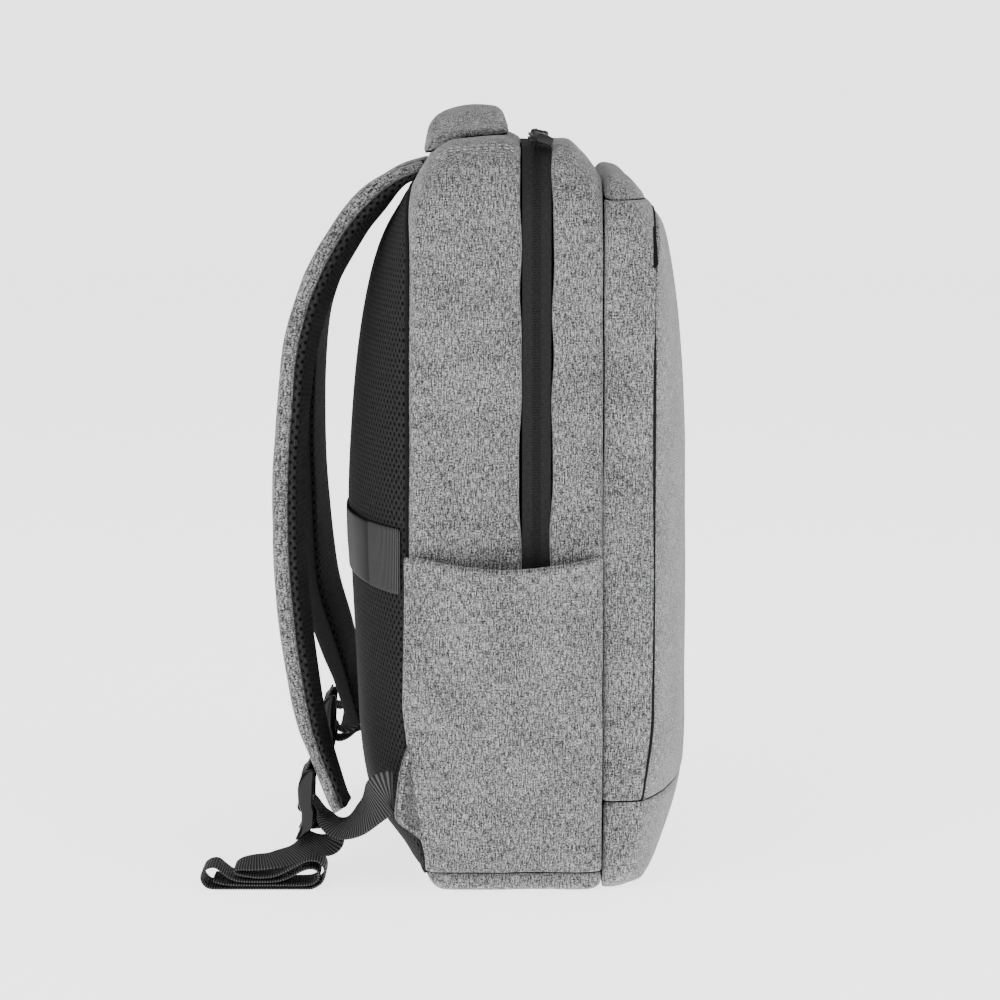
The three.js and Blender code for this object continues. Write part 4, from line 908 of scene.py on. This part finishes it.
tailPlaces = {
    "left": (Vector((-129.5, rearY + 50.7, 0)), Vector((0, 1, 0)), Vector((1, 0, 0)), Vector((26.5, 0, 0)), 0),
    "right": (Vector((112, rearY + 21.2, 0)), Vector((1, 0, 0)), Vector((0, 1, 0)), Vector((0, 2, 0)), 3),
}


def facedRows(rows, sign, upright):
    made = []
    for side, back, z, face in rows:
        a = math.radians(face)
        made.append((Vector((sign * (main["half"] + side), rearY + back, z)), Vector((math.cos(a), 0, 0)) + upright * math.sin(a)))
    return made


def barTurn(bar, start, end, steps):
    radius = buckle["bar"] + 0.3 + webbing["thick"] / 2
    made = []
    for a in between(math.radians(start), math.radians(end), steps + 1):
        made.append((Vector((bar.x, bar.y + radius * math.cos(a), bar.z + radius * math.sin(a))), Vector((1, 0, 0))))
    return made


def tailTurns(place):
    origin, along, across, aside, left = place
    pitch = webbing["thick"] + webbing["gap"]
    made = []
    for run, lift, tilt, drift in tailRows[:len(tailRows) - left]:
        a = math.radians(tilt)
        rise = abs(math.sin(a)) * webbing["width"] / 2 if lift < 1 else 0
        spot = origin + along * run + aside * drift
        spot.z = webbing["thick"] / 2 + pitch * lift + rise
        made.append((spot, across * math.cos(a) + Vector((0, 0, math.sin(a)))))
    return made


def ribbonMesh(rows, steps=3):
    points = spline([row[0] for row in rows], steps)
    acrosses = spline([row[1] for row in rows], steps)
    for p in points:
        p.z = max(p.z, webbing["thick"] / 2 + 0.05)
    count = len(points)
    section = roundedSection(-0.5, 0.5, 0.03, 3, 0.5, 6)
    return sweepMesh(points, acrosses, [webbing["width"]] * count, [webbing["thick"]] * count, section)


for name in ("left", "right"):
    sign = -1 if name == "left" else 1
    origin = buckleOrigins[name]
    top = origin + Vector((0, buckle["depth"] * buckle["top"][1], -buckle["height"] * buckle["top"][0]))
    grip = origin + Vector((0, buckle["depth"] * buckle["grip"][1], -buckle["height"] * buckle["grip"][0]))
    topBack, rise, back, drop = loopEnds[name]
    acrossX = Vector((1, 0, 0))
    loop = [(top + Vector((0, -topBack, rise)), acrossX)] + barTurn(top, 70, -90, 6) + [(top + Vector((0, -back, -drop)), acrossX)]
    addPiece(f"loop_{name}", ribbonMesh(loop), webbingFabric, (f"buckle_loop_{name}",))
    route = facedRows(leftRoute if sign < 0 else rightRoute, sign, Vector((0, 0, 1)))
    fall = facedRows(leftFall if sign < 0 else rightFall, sign, Vector((0, 0, 1) if sign < 0 else (0, 1, 0)))
    rows = route + barTurn(grip, 110, -60, 6) + fall + tailTurns(tailPlaces[name])
    first = len(route) + 7
    for i, lean in enumerate(fallLean[:len(rows) - first]) if sign < 0 else ():
        a = math.radians(lean)
        spot, across = rows[first + i]
        rows[first + i] = (spot, across * math.cos(a) + Vector((0, 0, math.sin(a))))
    addPiece(f"webbing_run_{name}", ribbonMesh(rows), webbingFabric, (f"webbing_{name}",))
print("webbing made")


# Hard pieces: the CAD form with worked edges
def worked(node, name, finish, body, width, smooth=0):
    source = bpy.data.objects[node]
    bm = bmesh.new()
    bm.from_mesh(source.data)
    bmesh.ops.remove_doubles(bm, verts=bm.verts, dist=1e-6)
    flatAngle = math.radians(2)
    bmesh.ops.dissolve_limit(bm, angle_limit=flatAngle, verts=bm.verts, edges=bm.edges)
    bmesh.ops.recalc_face_normals(bm, faces=bm.faces[:])
    boxUv(bm)
    return addPiece(name, bm, finish, (node,), body, bevel=width, smooth=smooth)


for side in ("left", "right"):
    worked(f"zip_slider_{side}", f"slider_{side}", sliderMetal, "bag", 0.35)
    worked(f"puller_ring_{side}", f"pull_ring_{side}", sliderMetal, f"pull_{side}", 0.3)
    worked(f"puller_grip_{side}", f"pull_grip_{side}", pullRubber, f"pull_{side}", 1.2)

# Tab folded over the front seam
tab = {"low": 357, "high": 380, "width": 4.6, "thick": 2.2}


def tabPlace(u, v):
    z = tab["low"] + (tab["high"] - tab["low"]) * v
    a = 2 * math.pi * (u % 1.0)
    end = min(1, min(v, 1 - v) * 9 + 0.35)
    out = math.copysign(abs(math.cos(a)) ** 0.5, math.cos(a)) * tab["width"] / 2 * end
    lift = math.sin(a) * tab["thick"] / 2 + 0.5
    turn = main["turn"] * pocketTurn(1.0)
    rise = min(1, max(0, (z - main["height"] * pocketTop(1.0)) / turn + 1))
    level = math.sqrt(1 - rise * rise)
    x = main["half"] * pocketHalf(1.0) - turn * (1 - level) + lift * level
    return Vector((-x, frontEdge(z) + 1.4 - out + 1.2 * (v - 0.5), z + lift * rise))


tabForm = gridMesh(20, 24, tabPlace, closed=True)
bmesh.ops.holes_fill(tabForm, edges=[e for e in tabForm.edges if e.is_boundary], sides=0)
bmesh.ops.recalc_face_normals(tabForm, faces=tabForm.faces[:])
boxUv(tabForm)
addPiece("front_tab_rubber", tabForm, tabRubber, ("front_tab",))
print("hard pieces made")

# Ladder-lock buckles: two smooth bent rails, two bars and a lifting lip
buckleForm = {
    "rows": [(0.0, -0.35, 0.2), (0.04, -0.18, 0.72), (0.12, 0.0, 1.0), (0.3, 0.14, 1.16), (0.48, 0.14, 1.08),
             (0.62, -0.04, 0.98), (0.76, 0.0, 0.94), (0.88, 0.24, 0.8), (0.96, 0.6, 0.5), (1.0, 0.85, 0.12)],
    "lip": (0.78, 0.99, 0.24),
}
buckleOut = column(buckleForm["rows"], 0, 1)
buckleThick = column(buckleForm["rows"], 0, 2)


def joined(meshes):
    whole = bmesh.new()
    for bm in meshes:
        part = bpy.data.meshes.new("part")
        bm.to_mesh(part)
        bm.free()
        whole.from_mesh(part)
        bpy.data.meshes.remove(part)
    return whole


def buckleRail(origin, x, wide, low, high, thickness=None, rows=26):
    def place(u, v):
        down = low + (high - low) * v
        a = 2 * math.pi * (u % 1.0)
        c, d = math.cos(a), math.sin(a)
        thick = buckle["depth"] * (thickness or buckleThick(down))
        across = c * wide / 2
        out = math.copysign(abs(d) ** 0.85, d) * thick / 2
        return origin + Vector((x + across, buckle["depth"] * buckleOut(down) + out, -buckle["height"] * down))
    bm = gridMesh(20, rows, place, closed=True)
    bmesh.ops.holes_fill(bm, edges=[e for e in bm.edges if e.is_boundary], sides=0)
    bmesh.ops.recalc_face_normals(bm, faces=bm.faces[:])
    return bm


def buckleBar(centre, reach):
    bm = bmesh.new()
    bmesh.ops.create_cone(bm, cap_ends=True, segments=24, radius1=buckle["bar"] * mm, radius2=buckle["bar"] * mm, depth=reach * mm)
    for v in bm.verts:
        v.co = Vector((v.co.z, v.co.y, v.co.x)) + centre * mm
    bmesh.ops.recalc_face_normals(bm, faces=bm.faces[:])
    return bm


for side, origin in buckleOrigins.items():
    inside = webbing["width"] / 2 + buckle["play"]
    parts = [buckleRail(origin, sign * (inside + buckle["rail"] / 2), buckle["rail"] * 1.15, 0, 1) for sign in (-1, 1)]
    lipLow, lipHigh, lipThick = buckleForm["lip"]
    parts.append(buckleRail(origin, 0, 2 * inside + 1, lipLow, lipHigh, lipThick, 10))
    for down, out in (buckle["top"], buckle["grip"]):
        centre = origin + Vector((0, buckle["depth"] * out, -buckle["height"] * down))
        parts.append(buckleBar(centre, 2 * inside + 1))
    body = joined(parts)
    boxUv(body)
    addPiece(f"buckle_body_{side}", body, bucklePlastic, (f"buckle_{side}",), smooth=1)
print("buckles made")

# Wings of cloth that hold the webbing, with a folded hem along the outer edge
wing = {"thick": 1.6, "low": 30.8, "high": 85.7, "hem": 4.6, "fold": 1.2,
        "reach": [(30.8, 0.6), (43.4, 13.0), (57, 9.8), (70, 6.6), (85.7, 0.6)]}
wingReach = curve(wing["reach"])
seamStitches = bmesh.new()
for sign, side in ((-1, "left"), (1, "right")):
    edgeX = main["half"] * mainSections[-1][2]

    def wingPlace(u, v, sign=sign, edgeX=edgeX):
        z = wing["high"] + (wing["low"] - wing["high"]) * v
        run = wingReach(z) + 2.6
        y = rearEdge(z) - 2.4 + run * u
        left = run * (1 - u)
        raised = wing["fold"] * (1 if left < wing["hem"] else math.exp(-(left - wing["hem"]) / 0.8))
        fold = 0.35 * noise.noise(Vector((z / 9, y / 14, 2.0)))
        return Vector((sign * (edgeX + 3.0 - 1.6 * u + raised + fold), y, z))
    flap = gridMesh(26, 44, wingPlace)
    faceOut(flap, (0, 70, 60))
    boxUv(flap)
    # the wing cloth takes the darker heather copy: painted shade
    addPiece(f"wing_cloth_{side}", flap, paintedShadeCloth, (f"wing_{side}",), wall=wing["thick"])

    def wingHemPlace(u, v, sign=sign, wingPlace=wingPlace):
        run = wingReach(wing["high"] + (wing["low"] - wing["high"]) * v) + 2.6
        spot = wingPlace(max(0, 1 - wing["hem"] / run * (1 - u)), v)
        return spot + Vector((sign * 0.9 * max(0, math.sin(math.pi * u)) ** 0.5, 0, 0))
    strip = gridMesh(8, 44, wingHemPlace)
    faceOut(strip, (0, 70, 60))
    boxUv(strip)
    addPiece(f"wing_hem_{side}", strip, cloth, wall=0.8)
    for z in between(wing["low"] + 10, wing["high"] - 4, 17):
        place = wingPlace(max(0, 1 - 3.0 / (wingReach(z) + 2.6)), (wing["high"] - z) / (wing["high"] - wing["low"]))
        addBlock(seamStitches, place + Vector((sign * 0.15, 0, 0)), Vector((0, -0.2, 1)).normalized(), Vector((sign, 0, 0)), (2.0, 0.5, 0.5))
print("wings made")

# Topstitching: along the top seam on both sides and below the side pockets' hems
stitch = {"long": 2.6, "wide": 0.8, "high": 0.8, "pitch": 3.9, "seams": (0.6015, 0.6052)}


def layStitch(surface, spot, along, size):
    # drops a stitch onto the cloth below it
    found = surface.find_nearest(spot * mm)
    if found[0]:
        out = found[1] if found[1].dot(outFrom(spot)) > 0 else -found[1]
        addBlock(seamStitches, found[0] / mm + out * 0.2, (along - out * along.dot(out)).normalized(), out, size)


for seam in stitch["seams"]:
    for t in (seam, 1 - seam):
        for spot, along in pathPlaces(lambda share, t=t: mainPoint(share, t, -0.05), 0.46, 0.9, stitch["pitch"], 300):
            layStitch(rearSurface, spot, along, (stitch["long"], stitch["wide"], stitch["high"]))
for sign in (-1, 1):
    level = 1 - (sidePocket["hem"] - 1.2) / (sidePocket["high"] - sidePocket["low"])
    for spot, along in pathPlaces(lambda u, sign=sign: sidePocketPoint(sign, u, level, sidePocket["wall"] + 0.75), 0.03, 0.97, 3.1, 600):
        layStitch(hemSurfaces[sign], spot, along, (2.0, 0.5, 0.5))
addPiece("seam_stitches", seamStitches, threadGrey, smooth=0)

# Dark piping round the back pad and in the front panel's seam
piping = {"share": 0.9785, "radius": 1.15, "frontInset": 0.9, "frontRadius": 0.85}


def rimPlace(t):
    return shrunk(mainPoint(1.0, t), piping["share"], lambda x, z: rearDome(x, z, 0.6) + 0.9)


def seamPlace(t):
    spot = pocketPoint(1.0, t, piping["frontInset"])
    return spot + Vector((0, 0.15, 0))


for name, pathAt, radius in (("pad_piping", rimPlace, piping["radius"]), ("pocket_piping", seamPlace, piping["frontRadius"])):
    def tubePlace(u, v, pathAt=pathAt, radius=radius):
        centre = pathAt(v % 1.0)
        away = Vector((centre.x, 0, centre.z - middleZ)).normalized()
        a = 2 * math.pi * (u % 1.0)
        return centre + (away * math.cos(a) + Vector((0, 1, 0)) * math.sin(a)) * radius
    cordCover = gridMesh(8, 260, tubePlace, closed=True)
    if name == "pocket_piping":
        cut(cordCover, (0, 0, pocket["baseSeam"] + 1), (0, 0, 1), "front")
        bmesh.ops.holes_fill(cordCover, edges=[e for e in cordCover.edges if e.is_boundary], sides=0)
    bmesh.ops.recalc_face_normals(cordCover, faces=cordCover.faces[:])
    boxUv(cordCover)
    addPiece(name, cordCover, bindingFabric, smooth=0)
print("seams made")

# Grab handle
handle = {"place": 0.72, "width": 51, "grip": 34, "span": 138, "rise": 9, "cover": 4.6, "lining": 2}


handleLook = {"droop": 2.6, "slope": 0.13, "reach": 5, "sewnFrom": 0.66}


def topLevel(y):
    return main["height"] * mainTop(shareAt(y))


def handleMesh(low, high, section, half, rows=40):
    ring = roundedSection(0, 1, section, 5, 0.5, 12)

    def place(u, v):
        share = 2 * v - 1
        across, level = ring[round(u * len(ring)) % len(ring)]
        width = (handle["grip"] + (handle["width"] - handle["grip"]) * abs(share) ** 1.5) * half
        y = main["front"] + main["depth"] * handle["place"] + across * width
        sewn = max(0, (abs(share) - handleLook["sewnFrom"]) / (1 - handleLook["sewnFrom"])) ** 2
        arch = main["height"] + 0.3 + (1 - abs(share) ** 3) * handle["rise"]
        arch -= handleLook["droop"] * (2 * across) ** 2 + handleLook["slope"] * across * width
        base = arch * (1 - sewn) + (topLevel(y) + 0.2) * sewn
        rise = (low + (high - low) * level) * (1 - 0.55 * sewn)
        x = (handle["span"] / 2 + handleLook["reach"] * sewn) * share
        return Vector((x, y, base + rise))
    bm = gridMesh(len(ring), rows, place, closed=True)
    bmesh.ops.holes_fill(bm, edges=[e for e in bm.edges if e.is_boundary], sides=0)
    bmesh.ops.recalc_face_normals(bm, faces=bm.faces[:])
    return bm


lining = handleMesh(0, handle["lining"], 0.03, 0.97)
boxUv(lining)
addPiece("handle_inner", lining, bindingFabric, ("handle_lining",))
coverCloth = handleMesh(handle["lining"] - 0.6, handle["lining"] + 0.3 + handle["cover"], 0.08, 1.0)
ripple(coverCloth, 0.5, 20, 5)
boxUv(coverCloth)
handlePiece = addPiece("handle_outer", coverCloth, cloth, ("handle_cover",))
print("handle made")

# Floor and light
floorMesh = bmesh.new()
bmesh.ops.create_grid(floorMesh, x_segments=1, y_segments=1, size=6)
floorData = bpy.data.meshes.new("floor")
floorMesh.to_mesh(floorData)
floorMesh.free()
floor = bpy.data.objects.new("floor", floorData)
bpy.context.scene.collection.objects.link(floor)
floorFinish, floorTree, floorShader = newMaterial("floorPaint", 0.9, 0.1)
floorShader.inputs["Base Color"].default_value = (0.92, 0.92, 0.92, 1)
floorData.materials.append(floorFinish)

light = {"room": 0.55, "backdrop": 2.847, "floor": 2.3}
floorShader.inputs["Emission Color"].default_value = (1, 1, 1, 1)
floorShader.inputs["Emission Strength"].default_value = light["floor"]
world = bpy.data.worlds.new("studio")
world.use_nodes = True
studio = world.node_tree
direct = addNode(studio, "ShaderNodeLightPath").outputs["Is Camera Ray"]
extra = calc(studio, "MULTIPLY", direct, light["backdrop"] - light["room"])
studio.nodes["Background"].inputs["Color"].default_value = (1, 1, 1, 1)
studio.links.new(calc(studio, "ADD", extra, light["room"]), studio.nodes["Background"].inputs["Strength"])
bpy.context.scene.world = world


def softbox(name, place, target, size, power):
    data = bpy.data.lights.new(name, "AREA")
    data.shape = "RECTANGLE"
    data.size, data.size_y = size
    data.energy = power
    light = bpy.data.objects.new(name, data)
    light.location = place
    light.rotation_euler = (Vector(target) - Vector(place)).to_track_quat("-Z", "Y").to_euler()
    bpy.context.scene.collection.objects.link(light)


softbox("keyLight", (-1.6, 1.3, 1.9), (0, 0, 0.2), (1.6, 1.6), 26)
softbox("fillLight", (-1.4, -1.8, 1.2), (0, 0, 0.2), (1.6, 1.6), 14)
softbox("topLight", (0.2, 0.0, 2.4), (0, 0, 0.2), (2.0, 2.0), 16)

print("scene ready")
